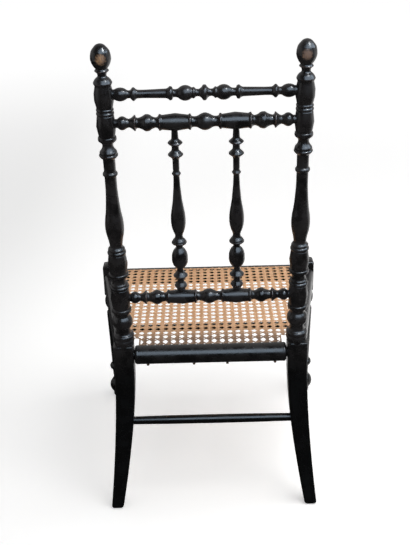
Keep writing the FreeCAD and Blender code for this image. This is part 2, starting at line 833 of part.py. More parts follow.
def main():
    """Write one STEP file for each piece."""
    os.makedirs("parts", exist_ok=True)
    pieces = chair()
    shift = origin_shift(pieces)
    for name, shape in pieces.items():
        placed = shape.copy()
        placed.translate(shift)
        placed.exportStep(os.path.join("parts", name + ".step"))
        print(name, len(placed.Solids), placed.isValid(), round(placed.Volume / 1000, 2))
    print("moved along Y by", round(shift.y, 3))


main()
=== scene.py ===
import logging
import math
from dataclasses import dataclass
from enum import Enum

import bpy
from mathutils import Matrix, Vector


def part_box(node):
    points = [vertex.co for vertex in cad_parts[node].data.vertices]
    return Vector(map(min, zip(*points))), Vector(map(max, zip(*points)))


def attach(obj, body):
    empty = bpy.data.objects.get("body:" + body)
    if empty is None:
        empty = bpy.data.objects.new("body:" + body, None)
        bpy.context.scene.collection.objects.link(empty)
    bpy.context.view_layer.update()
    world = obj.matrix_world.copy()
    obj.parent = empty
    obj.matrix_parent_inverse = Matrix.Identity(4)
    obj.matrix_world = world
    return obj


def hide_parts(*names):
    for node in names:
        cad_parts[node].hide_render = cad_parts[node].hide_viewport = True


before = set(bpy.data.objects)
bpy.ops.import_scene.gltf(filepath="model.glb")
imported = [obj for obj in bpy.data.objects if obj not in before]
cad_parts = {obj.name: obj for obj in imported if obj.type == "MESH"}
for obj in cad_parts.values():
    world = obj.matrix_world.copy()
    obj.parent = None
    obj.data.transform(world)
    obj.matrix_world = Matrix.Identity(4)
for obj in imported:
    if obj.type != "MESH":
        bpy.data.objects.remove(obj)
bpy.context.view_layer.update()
BOXES = {name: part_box(name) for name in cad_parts}
LOG = logging.getLogger("chair")
BODY = "root"
SHARP_ANGLE = math.radians(40.0)

Socket = bpy.types.NodeSocket
Point = tuple[float, float]
Place = tuple[float, float, float]
Colour = tuple[float, float, float]
# A row of a turned outline is a place along the piece, the radius there and the bow of the
# stretch that ends there: an arc's rise over its chord, outward where positive.
# Places are shares of the turned length and radii are shares of the largest radius.
Row = tuple[float, float, float]

STILE_SHARES: tuple[Row, ...] = (
    (0.0, 0.93, 0.0), (0.0075, 0.91, 0.0), (0.0245, 0.91, 0.17), (0.041, 0.9, 0.2),
    (0.048, 0.71, -0.12), (0.066, 0.67, -0.08), (0.111, 0.67, 0.23), (0.119, 0.68, -0.08),
    (0.127, 0.86, -0.12), (0.1365, 0.91, 0.14), (0.142, 0.79, 0.2), (0.213, 0.8, 0.06),
    (0.214, 0.775, 0.0), (0.2265, 0.8, 0.26), (0.2275, 0.76, 0.0), (0.237, 0.66, 0.24),
    (0.24, 0.645, 0.0), (0.253, 0.65, -0.08), (0.26, 0.84, -0.12), (0.268, 0.9, 0.14),
    (0.2735, 0.78, 0.2), (0.339, 0.77, 0.062), (0.34, 0.745, 0.0), (0.3525, 0.76, 0.24),
    (0.3535, 0.72, 0.0), (0.3635, 0.67, 0.22), (0.3737, 0.571, -0.12), (0.4089, 0.758, -0.022),
    (0.4362, 0.832, 0.026), (0.4634, 0.777, 0.014), (0.4839, 0.681, 0.0), (0.5179, 0.584, -0.007),
    (0.5634, 0.5065, -0.0075), (0.6045, 0.505, 0.0), (0.6195, 0.51, 0.32), (0.66, 0.52, 0.0),
    (0.6611, 0.55, 0.0), (0.669, 0.775, 0.05), (0.6755, 0.765, 0.22), (0.6765, 0.735, 0.0),
    (0.6875, 0.65, 0.14), (0.702, 0.452, -0.083), (0.7065, 0.47, 0.0), (0.716, 0.71, -0.08),
    (0.7255, 0.77, 0.14), (0.7305, 0.68, 0.2), (0.7932, 0.71, 0.07), (0.7945, 0.675, 0.0),
    (0.8047, 0.675, 0.25), (0.8058, 0.655, 0.0), (0.8152, 0.675, 0.25), (0.8165, 0.67, 0.0),
    (0.8805, 0.675, 0.082), (0.8875, 0.765, -0.05), (0.8915, 0.765, 0.14), (0.9015, 0.59, 0.06),
    (0.9065, 0.42, 0.0), (0.9115, 0.365, -0.1), (0.9165, 0.39, 0.0), (0.9232, 0.575, -0.06),
    (0.9256, 0.58, 0.12), (0.9302, 0.475, -0.06), (0.9568, 0.84, 0.075), (0.9796, 0.74, 0.044),
    (0.9909, 0.5, 0.03), (1.0, 0.0, 1.0),
)
BACK_RAIL_SHARES: tuple[Row, ...] = (
    (0.0, 1.0, 0.0), (0.036, 0.925, 0.04), (0.062, 0.8, 0.0), (0.08, 0.69, 0.0),
    (0.12, 0.595, -0.06), (0.152, 0.655, -0.06), (0.165, 0.91, 0.0), (0.181, 0.91, 0.1),
    (0.192, 0.8, 0.0), (0.491, 0.83, 0.062), (0.509, 0.93, 0.0), (0.524, 0.93, 0.1),
    (0.536, 0.71, 0.0), (0.5625, 0.575, -0.08), (0.607, 0.735, -0.05), (0.625, 0.885, 0.0),
    (0.679, 0.965, 0.07), (0.705, 0.805, 0.02), (0.732, 0.67, -0.02), (0.768, 0.57, -0.03),
    (0.786, 0.68, -0.05), (0.793, 0.9, 0.0), (0.805, 0.9, 0.1), (0.83, 0.68, -0.02),
    (0.866, 0.49, -0.06), (0.893, 0.575, -0.05), (0.911, 0.69, 0.0), (0.982, 0.645, 0.17),
    (1.0, 0.5, 0.0),
)
CREST_RAIL_SHARES: tuple[Row, ...] = (
    (0.0, 1.0, 0.0), (0.012, 0.98, 0.0), (0.022, 0.9, 0.0), (0.045, 0.58, -0.08),
    (0.07, 0.46, -0.08), (0.09, 0.48, -0.03), (0.108, 0.64, -0.1), (0.123, 0.735, 0.05),
    (0.137, 0.66, 0.05), (0.15, 0.72, -0.08), (0.29, 0.63, 0.19), (0.33, 0.495, -0.08),
    (0.348, 0.51, 0.0), (0.36, 0.78, -0.08), (0.378, 0.885, 0.03), (0.392, 0.875, 0.0),
    (0.405, 0.73, -0.05), (0.446, 0.59, -0.1), (0.62, 0.535, 0.0), (0.74, 0.53, -0.01),
    (0.768, 0.66, -0.1), (0.785, 0.84, -0.03), (0.8, 0.86, 0.03), (0.815, 0.72, 0.03),
    (0.835, 0.5, -0.08), (0.855, 0.5, -0.03), (0.868, 0.56, -0.05), (1.008, 0.65, 0.165),
)
SPINDLE_SHARES: tuple[Row, ...] = (
    (0.0, 0.5, 0.0), (0.014, 0.58, -0.05), (0.035, 0.87, 0.03), (0.053, 0.6, 0.03),
    (0.068, 0.47, -0.1), (0.085, 0.6, -0.1), (0.0985, 0.935, 0.0), (0.105, 0.955, 0.16),
    (0.106, 0.89, 0.0), (0.1205, 0.62, 0.06), (0.137, 0.44, -0.1), (0.152, 0.44, -0.03),
    (0.219, 1.065, 0.14), (0.287, 0.47, 0.12), (0.296, 0.46, -0.04), (0.305, 0.6, -0.1),
    (0.313, 0.86, -0.02), (0.318, 0.975, 0.0), (0.3255, 0.975, 0.16), (0.3266, 0.91, 0.0),
    (0.3415, 0.73, 0.1), (0.354, 0.54, -0.08), (0.369, 0.505, -0.04), (0.393, 0.7, -0.03),
    (0.424, 0.895, 0.015), (0.471, 0.965, 0.025), (0.514, 0.885, 0.02), (0.559, 0.71, 0.0),
    (0.618, 0.555, -0.015), (0.727, 0.395, -0.012), (0.74, 0.46, -0.12), (0.749, 0.6, 0.0),
    (0.759, 0.46, 0.0), (0.775, 0.42, -0.1), (0.826, 0.42, 0.0), (0.846, 0.62, -0.12),
    (0.8575, 0.935, 0.0), (0.864, 0.95, 0.16), (0.865, 0.885, 0.0), (0.8785, 0.62, 0.06),
    (0.893, 0.46, -0.1), (0.905, 0.45, 0.0), (0.915, 0.6, -0.1), (0.929, 0.95, 0.05),
    (0.943, 0.6, 0.05), (0.958, 0.44, -0.1), (1.0, 0.39, 0.0),
)
FRONT_LEG_SHARES: tuple[Row, ...] = (
    (0.0, 0.62, 0.0), (0.004, 0.66, 0.0), (0.03, 0.66, 0.06), (0.036, 0.62, 0.0),
    (0.164, 0.64, 0.23), (0.212, 0.585, -0.08), (0.262, 0.66, -0.06), (0.268, 0.76, 0.0),
    (0.315, 0.74, 0.22), (0.322, 0.64, 0.0), (0.38, 0.625, -0.02), (0.812, 0.78, 0.0),
    (0.83, 0.7, 0.1), (0.85, 0.63, -0.1), (0.866, 0.66, -0.1), (0.984, 0.66, 0.15),
    (1.0, 0.72, -0.05),
)
STRETCHER_SHARES: tuple[Row, ...] = (
    (0.0, 1.0, 0.0), (0.5, 0.975, 0.0), (1.0, 0.86, 0.0),
)

# Where each turned piece's grain lies in the wood.
SEEDS = {
    "crest_rail": 0.11,
    "upper_back_rail": 0.23,
    "lower_back_rail": 0.47,
    "left_back_spindle": 0.31,
    "right_back_spindle": 0.83,
    "rear_seat_rail": 0.19,
    "left_front_leg": 0.7,
    "back_stretcher": 0.41,
    "front_stretcher": 0.53,
    "left_side_stretcher": 0.7,
    "right_side_stretcher": 0.5,
}


def box_middle(name: str) -> Place:
    """The middle of a node's box along X, Y and Z."""
    return tuple((low + high) / 2 for low, high in zip(*BOXES[name]))


@dataclass(frozen=True)
class Plan:
    """The chair's driving sizes in metres, shared by its parts.

    The back's parts are laid out upright over the line of the posts at seat height and then
    raked, as the frame's solids are.
    """

    seat_height: float = 0.255
    total_height: float = 0.700
    back_spread: float = 0.2526
    back_lean: float = 0.0445
    seat_depth: float = 0.281
    rail_rear_half: float = 0.0145
    rail_front_inner: float = 0.1438
    rail_front_outer: float = 0.1850
    block_width: float = 0.0246
    leg_shoulder: float = 0.262
    leg_top_width: float = 0.0294
    leg_foot_width: float = 0.0182
    leg_straight: float = 0.037
    leg_offset: float = 0.0016
    leg_sweep: float = 0.044
    leg_splay: float = 0.021
    leg_power: float = 1.65

    @property
    def seat_line(self) -> float:
        """The place along Y of the back posts' axes at seat height."""
        return box_middle("left_front_leg")[1] + self.seat_depth

    @property
    def rear_edge(self) -> float:
        """The place along Y where the side rails meet the back legs."""
        return self.seat_line - self.leg_top_width / 2

    @property
    def leg_x(self) -> float:
        """The left back leg's place along X at seat height."""
        return self.leg_centre(self.seat_height).x

    @property
    def back_length(self) -> float:
        """The posts' length above the seat along their leaning axes."""
        return math.hypot(self.back_lean, self.total_height - self.seat_height)

    def raked(self) -> Matrix:
        """The move that leans the upright back and brings it to its line."""
        pivot = Vector((0, self.seat_line, self.seat_height))
        rake = math.atan2(self.back_lean, self.total_height - self.seat_height)
        return Matrix.Translation(pivot) @ Matrix.Rotation(-rake, 4, "X")

    def leg_fall(self, height: float) -> float:
        """How much of its bend the back leg has made at a height, 0 to 1 at the floor."""
        start = self.leg_shoulder - self.leg_straight
        return (max(0.0, start - height) / start) ** self.leg_power

    def leg_width(self, height: float) -> float:
        """The back leg's width at a height."""
        taper = self.leg_top_width - self.leg_foot_width
        return self.leg_top_width - taper * self.leg_fall(height)

    def leg_centre(self, height: float) -> Vector:
        """The middle of the left back leg at a height."""
        fall = self.leg_fall(height)
        across = self.back_spread / 2 + self.leg_offset + self.leg_splay * fall
        return Vector((across, self.seat_line + self.leg_sweep * fall, height))


PLAN = Plan()


class Shell:
    """A mesh under construction, with a place, an edge and a wear value at every vertex."""

    mirror_shift = Vector((0.37, 0.21, 0.5))

    def __init__(self) -> None:
        """Start with no vertices."""
        self.points: list[Vector] = []
        self.faces: list[tuple[int, ...]] = []
        self.local: list[Vector] = []
        self.crest: list[float] = []
        self.worn: list[float] = []

    def add(self, point: Vector, local: Vector, crest: float = 0.0, worn: float = 0.0) -> int:
        """Add a vertex.

        Args:
            point: its place in the chair's frame.
            local: its place in the piece's own frame, whose Z runs along the grain.
            crest: how exposed the edge there is, 0 to 1.
            worn: how far the lacquer is rubbed through there, 0 to 1.

        Returns:
            The vertex's index.
        """
        self.points.append(point)
        self.local.append(local)
        self.crest.append(crest)
        self.worn.append(worn)
        return len(self.points) - 1

    def skin(self, rings: list[list[int]]) -> None:
        """Join rings of vertices with faces that point out of a stack that rises.

        Args:
            rings: vertex indices, each ring anticlockwise seen from the stack's top. A ring of
                one vertex is a pole, and any other first or last ring gets a face.
        """
        for low, high in zip(rings, rings[1:]):
            count = max(len(low), len(high))
            for i in range(count):
                j = (i + 1) % count
                if len(low) == 1:
                    self.faces.append((low[0], high[j], high[i]))
                elif len(high) == 1:
                    self.faces.append((low[i], low[j], high[0]))
                else:
                    self.faces.append((low[i], low[j], high[j], high[i]))
        for cap in (rings[0][::-1], rings[-1]):
            if len(cap) > 1:
                self.faces.append(tuple(cap))

    def mirrored(self) -> "Shell":
        """The same shell on the chair's other side, with its grain elsewhere in the wood."""
        other = Shell()
        flip = Vector((-1, 1, 1))
        other.points = [p * flip for p in self.points]
        other.local = [p * flip + self.mirror_shift for p in self.local]
        other.crest = list(self.crest)
        other.worn = list(self.worn)
        other.faces = [tuple(reversed(face)) for face in self.faces]
        return other

    def made(self, name: str, material: bpy.types.Material) -> bpy.types.Object:
        """Make the shell an object.

        Args:
            name: the object's name.
            material: its finish.

        Returns:
            The new object, at the origin.
        """
        mesh = bpy.data.meshes.new(name)
        mesh.from_pydata([tuple(p) for p in self.points], [], self.faces)
        place = mesh.attributes.new("piece_place", "FLOAT_VECTOR", "POINT")
        place.data.foreach_set("vector", [c for p in self.local for c in p])
        for label, values in (("crest", self.crest), ("worn", self.worn)):
            layer = mesh.attributes.new(label, "FLOAT", "POINT")
            layer.data.foreach_set("value", values)
        mesh.materials.append(material)
        mesh.shade_smooth()
        mesh.set_sharp_from_angle(angle=SHARP_ANGLE)
        mesh.validate()
        return linked(name, mesh)


@dataclass
class Turning:
    """A turned length of wood, built about +Z from its outline."""

    rows: tuple[Row, ...]
    length: float
    radius: float
    around: int = 48
    step: float = math.radians(11)
    soften: float = 0.00035
    soften_share: float = 0.4
    wobble: float = 0.004
    wobble_rise: float = 60.0
    wobble_seed: float = 9.0
    crest_reach: float = 0.09
    worn_reach: float = 0.74

    def outline(self) -> list[Point]:
        """The outline's points as radius and height, with arcs divided and corners eased."""
        corners = [(r * self.radius, p * self.length, bow) for p, r, bow in self.rows]
        points = [corners[0][:2]]
        joints = set()
        for radius, height, bow in corners[1:]:
            joints.add(len(points) - 1)
            points.extend(self._arc(points[-1], (radius, height), bow))
        return self._eased(points, joints - {0})

    def _arc(self, start: Point, end: Point, bow: float) -> list[Point]:
        """The points of one stretch after its start."""
        (r0, z0), (r1, z1) = start, end
        if not bow:
            return [end]
        if r1 == 0:
            rise = z1 - z0
            ball = (r0 * r0 + rise * rise) / (2 * rise)
            full = math.atan2(r0, ball - rise)
            count = max(3, int(full / self.step))
            angles = [full * (1 - (i + 1) / count) for i in range(count)]
            return [(ball * math.sin(a), z1 - ball + ball * math.cos(a)) for a in angles]
        chord = math.hypot(r1 - r0, z1 - z0)
        half = 2 * math.atan(2 * abs(bow))
        ball = chord / 2 / math.sin(half)
        count = max(2, int(2 * half / self.step))
        side = 1 if bow > 0 else -1
        out = ((z1 - z0) / chord * side, -(r1 - r0) / chord * side)
        way = ((r1 - r0) / chord, (z1 - z0) / chord)
        made = []
        for i in range(1, count):
            angle = -half + 2 * half * i / count
            rise = ball * (math.cos(angle) - math.cos(half))
            run = chord / 2 + ball * math.sin(angle)
            made.append((r0 + way[0] * run + out[0] * rise, z0 + way[1] * run + out[1] * rise))
        return made + [end]

    def _eased(self, points: list[Point], joints: set[int]) -> list[Point]:
        """Round each corner between two stretches a little."""
        eased = []
        for i, point in enumerate(points):
            if i not in joints:
                eased.append(point)
                continue
            here = Vector(point)
            before, after = Vector(points[i - 1]) - here, Vector(points[i + 1]) - here
            reach = min(self.soften, *(side.length * self.soften_share for side in (before, after)))
            first = here + before.normalized() * reach
            last = here + after.normalized() * reach
            middle = (first + last) / 4 + here / 2
            eased.extend([tuple(first), tuple(middle), tuple(last)])
        return eased

    def crests(self, outline: list[Point]) -> list[float]:
        """How much each point of the outline stands out as a convex edge, 0 to 1."""
        made = []
        for i, point in enumerate(outline):
            here = Vector(point)
            before = (here - self._neighbour(outline, i, -1)).normalized()
            after = (self._neighbour(outline, i, 1) - here).normalized()
            made.append(max(0.0, min(1.0, before.x * after.y - before.y * after.x)))
        return made

    def _neighbour(self, outline: list[Point], index: int, way: int) -> Vector:
        """The outline's point about a crest's reach away from one of its points."""
        here = Vector(outline[index])
        reach = self.radius * self.crest_reach
        other = index
        while 0 <= other + way < len(outline) and (Vector(outline[other]) - here).length < reach:
            other += way
        return Vector(outline[other])

    def build(
        self, shell: Shell, place: Matrix, worn_spot: Vector | None = None, seed: float = 0.0
    ) -> None:
        """Add the turning to a shell.

        Args:
            shell: the mesh it goes into.
            place: the move from the turning's own frame to the chair's.
            worn_spot: a point in the turning's frame round which the lacquer is worn away.
            seed: what makes this piece's grain differ from others'.
        """
        outline = self.outline()
        shift = Vector((seed, seed, seed))
        rings = []
        for (radius, height), crest in zip(outline, self.crests(outline)):
            if not radius:
                local = Vector((0, 0, height))
                rings.append([shell.add(place @ local, local + shift)])
                continue
            rise, turn = height * self.wobble_rise, seed * self.wobble_seed
            ring = []
            for i in range(self.around):
                angle = math.tau * i / self.around
                out = radius * (1 + self.wobble * math.sin(2 * angle + rise + turn))
                local = Vector((out * math.cos(angle), out * math.sin(angle), height))
                worn = 0.0
                if worn_spot is not None:
                    gap = (local - worn_spot).length
                    worn = max(0.0, 1 - gap / (self.radius * self.worn_reach))
                ring.append(shell.add(place @ local, local + shift, crest, worn))
            rings.append(ring)
        shell.skin(rings)


def linked(name: str, data: bpy.types.ID) -> bpy.types.Object:
    """A new object in the scene.

    Args:
        name: its name.
        data: its mesh, lamp or camera.

    Returns:
        The object.
    """
    made = bpy.data.objects.new(name, data)
    bpy.context.scene.collection.objects.link(made)
    return made


def both_ways(rows: tuple[Row, ...]) -> tuple[Row, ...]:
    """Rows from a middle to one end, with the same rows before them to the other end.

    Args:
        rows: the rows of one half, from the middle.

    Returns:
        The rows of the whole piece, from -1 to 1.
    """
    bows = [row[2] for row in rows[1:]] + [0.0]
    other = [(-place, radius, bow) for (place, radius, _), bow in zip(rows, bows)]
    other[0] = (0.0, *other[0][1:])
    return tuple(reversed(other)) + tuple(rows[1:])


def along(start: Vector, end: Vector) -> Matrix:
    """The move that lays a piece built about +Z from start towards end, centred on them."""
    turn = (end - start).to_track_quat("Z", "Y").to_matrix().to_4x4()
    return Matrix.Translation((start + end) / 2) @ turn


def crosswise(y: float, z: float) -> Matrix:
    """The move that lays a piece built about +Z from the chair's right to its left."""
    return along(Vector((-1, y, z)), Vector((1, y, z)))


def rounded_square(half: float, corner: float, steps: int = 5) -> list[Point]:
    """A square's outline with rounded corners, anticlockwise.

    Args:
        half: half the square's width.
        corner: the corners' radius.
        steps: how many edges each corner has.

    Returns:
        The outline's points.
    """
    points = []
    for quarter in range(4):
        middle = math.pi / 4 + math.pi / 2 * quarter
        centre_x = math.copysign(half - corner, math.cos(middle))
        centre_y = math.copysign(half - corner, math.sin(middle))
        for i in range(steps + 1):
            angle = math.pi / 2 * (quarter + i / steps)
            x, y = corner * math.cos(angle), corner * math.sin(angle)
            points.append((centre_x + x, centre_y + y))
    return points


class Graph:
    """A short way to write a tree's nodes."""

    def __init__(self, tree: bpy.types.NodeTree) -> None:
        """Start on a tree, from nothing."""
        self.tree = tree
        tree.nodes.clear()

    def node(self, kind: str, inputs: dict | None = None, **settings: object) -> bpy.types.Node:
        """Add a node.

        Args:
            kind: the node's type.
            inputs: a value or a socket for each input, by its name or number.
            settings: the node's own properties, set before its inputs.

        Returns:
            The node.
        """
        node = self.tree.nodes.new(kind)
        for name, value in settings.items():
            setattr(node, name, value)
        self.fill(node, inputs or {})
        return node

    def fill(self, node: bpy.types.Node, inputs: dict) -> None:
        """Set or link some of a node's inputs."""
        for key, value in inputs.items():
            if isinstance(value, bpy.types.NodeSocket):
                self.tree.links.new(value, node.inputs[key])
            else:
                node.inputs[key].default_value = value

    def out(self, kind: str, output: str, inputs: dict | None = None, **settings: object) -> Socket:
        """Add a node as node() does, for one of its outputs."""
        return self.node(kind, inputs, **settings).outputs[output]

    def spot(self, space: str = "Object") -> Socket:
        """The shaded point's coordinates."""
        return self.out("ShaderNodeTexCoord", space)

    def axes(self, vector: Socket) -> dict[str, Socket]:
        """A vector's X, Y and Z."""
        return self.node("ShaderNodeSeparateXYZ", {"Vector": vector}).outputs

    def ramp(
        self,
        value: Socket,
        low: float,
        high: float,
        to_low: float | Socket = 0.0,
        to_high: float | Socket = 1.0,
    ) -> Socket:
        """A value taken smoothly from one range to another."""
        inputs = {"Value": value, "From Min": low, "From Max": high}
        inputs |= {"To Min": to_low, "To Max": to_high}
        return self.out("ShaderNodeMapRange", "Result", inputs, interpolation_type="SMOOTHSTEP")

    def maths(self, kind: str, first: Socket, second: Socket | float) -> Socket:
        """Two values put together, sums and products clamped to 0 to 1."""
        clamp = kind in ("ADD", "MULTIPLY")
        inputs = {0: first, 1: second}
        return self.out("ShaderNodeMath", "Value", inputs, operation=kind, use_clamp=clamp)

    def times(self, first: Socket, second: Socket | float) -> Socket:
        """Two values multiplied and clamped."""
        return self.maths("MULTIPLY", first, second)


@dataclass(frozen=True)
class Noise:
    """Cloudy noise, at a scale in cycles a metre and at another share of it along the grain."""

    scale: float
    detail: float = 3.0
    rough: float = 0.55
    along_grain: float = 1.0


class Surface(Graph):
    """A material under construction, with a principled shader at its output."""

    def __init__(self, name: str) -> None:
        """Make the material."""
        self.material = bpy.data.materials.new(name)
        self.material.use_nodes = True
        super().__init__(self.material.node_tree)
        self.shader = self.node("ShaderNodeBsdfPrincipled")
        surface = {"Surface": self.shader.outputs["BSDF"]}
        self.output = self.node("ShaderNodeOutputMaterial", surface)

    def attribute(self, name: str, output: str) -> Socket:
        """Read one of the mesh's own values."""
        return self.out("ShaderNodeAttribute", output, attribute_name=name)

    def noise(self, vector: Socket, noise: Noise) -> Socket:
        """Cloudy noise over a vector whose Z runs along the grain."""
        if noise.along_grain != 1.0:
            inputs = {"Vector": vector, "Scale": (1.0, 1.0, noise.along_grain)}
            vector = self.out("ShaderNodeMapping", "Vector", inputs)
        inputs = {"Vector": vector, "Scale": noise.scale}
        inputs |= {"Detail": noise.detail, "Roughness": noise.rough}
        return self.out("ShaderNodeTexNoise", "Fac", inputs)

    def blend(self, share: Socket, low: Colour | Socket, high: Colour | Socket) -> Socket:
        """A colour between two others."""
        inputs = {"Factor": share}
        for index, colour in ((6, low), (7, high)):
            inputs[index] = (*colour, 1.0) if isinstance(colour, tuple) else colour
        return self.node("ShaderNodeMix", inputs, data_type="RGBA").outputs[2]

    def bump(
        self, height: Socket, depth: float, strength: float, under: Socket | None = None
    ) -> Socket:
        """A normal bent by a height, over another normal where one is given."""
        inputs = {"Distance": depth, "Strength": strength, "Height": height}
        if under is not None:
            inputs["Normal"] = under
        return self.out("ShaderNodeBump", "Normal", inputs)


class Finish:
    """What a material looks like."""

    def material(self, name: str) -> bpy.types.Material:
        """Build the finish.

        Args:
            name: the material's name.

        Returns:
            The material.
        """
        surface = Surface(name)
        surface.fill(surface.shader, self.inputs(surface))
        return surface.material

    def inputs(self, surface: Surface) -> dict[str, Socket | float]:
        """What goes into the principled shader."""
        raise NotImplementedError


@dataclass(frozen=True)
class EbonisedFinish(Finish):
    """Black lacquer over turned hardwood, rubbed brown on its edges, lighter above the seat with
    dust and painted sheen.
    """

    black: Colour = (0.0015, 0.0015, 0.0017)
    # Partly dust and partly painted sheen: a lighter tone that stands in for the dull reflection
    # the parts above the seat catch.
    dust_and_sheen: Colour = (0.0225, 0.0200, 0.0205)
    edge_brown: Colour = (0.170, 0.108, 0.092)
    worn_brown: Colour = (0.540, 0.310, 0.140)
    grain: Noise = Noise(1600.0, 4.0, 0.65, 0.05)
    grain_range: Point = (0.35, 0.65)
    grain_depth: float = 0.00012
    grain_strength: float = 0.08
    pores: Noise = Noise(2600.0, 2.0, along_grain=0.08)
    pore_range: Point = (0.62, 0.74)
    pore_depth: float = 0.5
    pore_dulling: float = 0.06
    rub: Noise = Noise(420.0, 4.0, 0.6)
    rub_range: Point = (0.44, 0.62)
    crest_range: Point = (0.50, 0.95)
    edge_strength: float = 0.7
    fray_range: Point = (0.3, 0.7)
    fray: float = 0.11
    bare_range: Point = (0.30, 0.66)
    bare_dulling: float = 0.15
    right_side: Point = (-0.05, 0.05)
    right_darkening: float = 0.6
    cloud: Noise = Noise(55.0, 4.0)
    # The heights over which the black turns to the dust and painted sheen colour.
    dust_and_sheen_heights: Point = (0.20, 0.28)
    dust_range: Point = (0.30, 0.62)
    least_dust: float = 0.25
    sheen_range: Point = (0.30, 0.72)
    sheen: Point = (0.21, 0.34)
    ripple: Noise = Noise(130.0, 2.0)
    ripple_depth: float = 0.0006
    ripple_strength: float = 0.06
    specular: float = 0.56

    def inputs(self, surface: Surface) -> dict[str, Socket | float]:
        """What goes into the principled shader."""
        ramp, times, blend, maths = surface.ramp, surface.times, surface.blend, surface.maths
        place = surface.attribute("piece_place", "Vector")
        axes = surface.axes(surface.spot())
        grain, cloud, rub = (surface.noise(place, n) for n in (self.grain, self.cloud, self.rub))
        pores = ramp(surface.noise(place, self.pores), *self.pore_range)
        crest = ramp(surface.attribute("crest", "Fac"), *self.crest_range)
        edge = times(times(crest, ramp(rub, *self.rub_range)), self.edge_strength)
        fray = ramp(rub, *self.fray_range, -self.fray, self.fray)
        bare = ramp(maths("ADD", surface.attribute("worn", "Fac"), fray), *self.bare_range)
        dust = ramp(cloud, *self.dust_range, self.least_dust, 1.0)
        # Above seat height the black turns towards the dust colour, partly dust and partly painted
        # sheen; lower down the legs stay black.
        colour = blend(times(ramp(axes["Z"], *self.dust_and_sheen_heights), dust), self.black, self.dust_and_sheen)
        colour = blend(edge, colour, self.edge_brown)
        tone = blend(ramp(grain, *self.grain_range), self.edge_brown, self.worn_brown)
        right = ramp(axes["X"], *self.right_side, self.right_darkening, 0.0)
        colour = blend(bare, colour, blend(right, tone, self.edge_brown))
        sheen = ramp(cloud, *self.sheen_range, *self.sheen)
        dull = maths("ADD", sheen, times(pores, self.pore_dulling))
        relief = maths("SUBTRACT", grain, times(pores, self.pore_depth))
        fine = surface.bump(relief, self.grain_depth, self.grain_strength)
        ripple = surface.noise(place, self.ripple)
        return {
            "Base Color": colour,
            "Roughness": maths("ADD", dull, times(bare, self.bare_dulling)),
            "Normal": surface.bump(ripple, self.ripple_depth, self.ripple_strength, fine),
            "Specular IOR Level": self.specular,
        }


@dataclass(frozen=True)
class CaneFinish(Finish):
    """Aged rattan cane: glossy tan skin with fibres, stains and strand-to-strand colour, with
    painted shade towards the rear.
    """

    pale: Colour = (0.90, 0.57, 0.34)
    tan: Colour = (0.74, 0.41, 0.21)
    amber: Colour = (0.50, 0.245, 0.11)
    # The colour of the painted shade at the rear of the seat.
    shade_grey: Colour = (0.25, 0.172, 0.130)
    stain: Noise = Noise(120.0, 4.0, 0.6, 0.35)
    stain_range: Point = (0.52, 0.78)
    stain_strength: float = 0.75
    fibre: Noise = Noise(3800.0, 3.0, 0.6, 0.04)
    fibre_range: Point = (0.55, 0.85)
    fibre_strength: float = 0.35
    fibre_depth: float = 0.00012
    bump_strength: float = 0.5
    # Where the painted shade at the rear begins and reaches full strength along Y.
    rear: Point = (0.060, 0.112)
    rear_shade_strength: float = 0.85
    patch: Noise = Noise(26.0, 3.0)
    patch_range: Point = (0.25, 0.55)
    least_patch: float = 0.55
    sheen_range: Point = (0.3, 0.7)
    sheen: Point = (0.34, 0.52)
    specular: float = 0.30

    def inputs(self, surface: Surface) -> dict[str, Socket | float]:
        """What goes into the principled shader."""
        ramp, blend, spot = surface.ramp, surface.blend, surface.spot()
        place = surface.attribute("strand_place", "Vector")
        fibre, stain = (surface.noise(place, n) for n in (self.fibre, self.stain))
        stained = ramp(stain, *self.stain_range, 0.0, self.stain_strength)
        fibrous = ramp(fibre, *self.fibre_range, 0.0, self.fibre_strength)
        patch = ramp(surface.noise(spot, self.patch), *self.patch_range, self.least_patch, 1.0)
        # Painted shade: towards the rear, where the weave dips over the roller, the colour turns to
        # a shaded grey, broken up by the patch noise.
        rear = ramp(surface.axes(spot)["Y"], *self.rear, 0.0, self.rear_shade_strength)
        colour = blend(surface.attribute("strand_tone", "Fac"), self.pale, self.tan)
        colour = blend(fibrous, blend(stained, colour, self.amber), self.amber)
        return {
            "Base Color": blend(surface.times(rear, patch), colour, self.shade_grey),
            "Roughness": ramp(stain, *self.sheen_range, *self.sheen),
            "Normal": surface.bump(fibre, self.fibre_depth, self.bump_strength),
            "Specular IOR Level": self.specular,
        }


@dataclass(frozen=True)
class PegFinish(Finish):
    """Bare whittled hardwood, brown with age."""

    brown: Colour = (0.20, 0.105, 0.060)
    dark: Colour = (0.060, 0.030, 0.018)
    grain: Noise = Noise(900.0, 4.0, along_grain=0.15)
    grain_range: Point = (0.35, 0.65)
    grain_depth: float = 0.0002
    bump_strength: float = 0.5
    roughness: float = 0.7

    def inputs(self, surface: Surface) -> dict[str, Socket | float]:
        """What goes into the principled shader."""
        grain = surface.noise(surface.spot(), self.grain)
        share = surface.ramp(grain, *self.grain_range)
        return {
            "Base Color": surface.blend(share, self.dark, self.brown),
            "Normal": surface.bump(grain, self.grain_depth, self.bump_strength),
            "Roughness": self.roughness,
        }


def settle(piece: bpy.types.Object, slot: str, *nodes: str) -> None:
    """Hand a finished piece to the frame.

    Args:
        piece: the object.
        slot: not used; the material slot that its finish belongs to.
        nodes: the frame's nodes that it stands for.
    """
    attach(piece, BODY)
    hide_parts(*nodes)
    low, high = Vector(piece.bound_box[0]), Vector(piece.bound_box[6])
    size = (high - low) * 1000
    LOG.info("%s: %d faces, %.0f x %.0f x %.0f mm", piece.name, len(piece.data.polygons), *size)


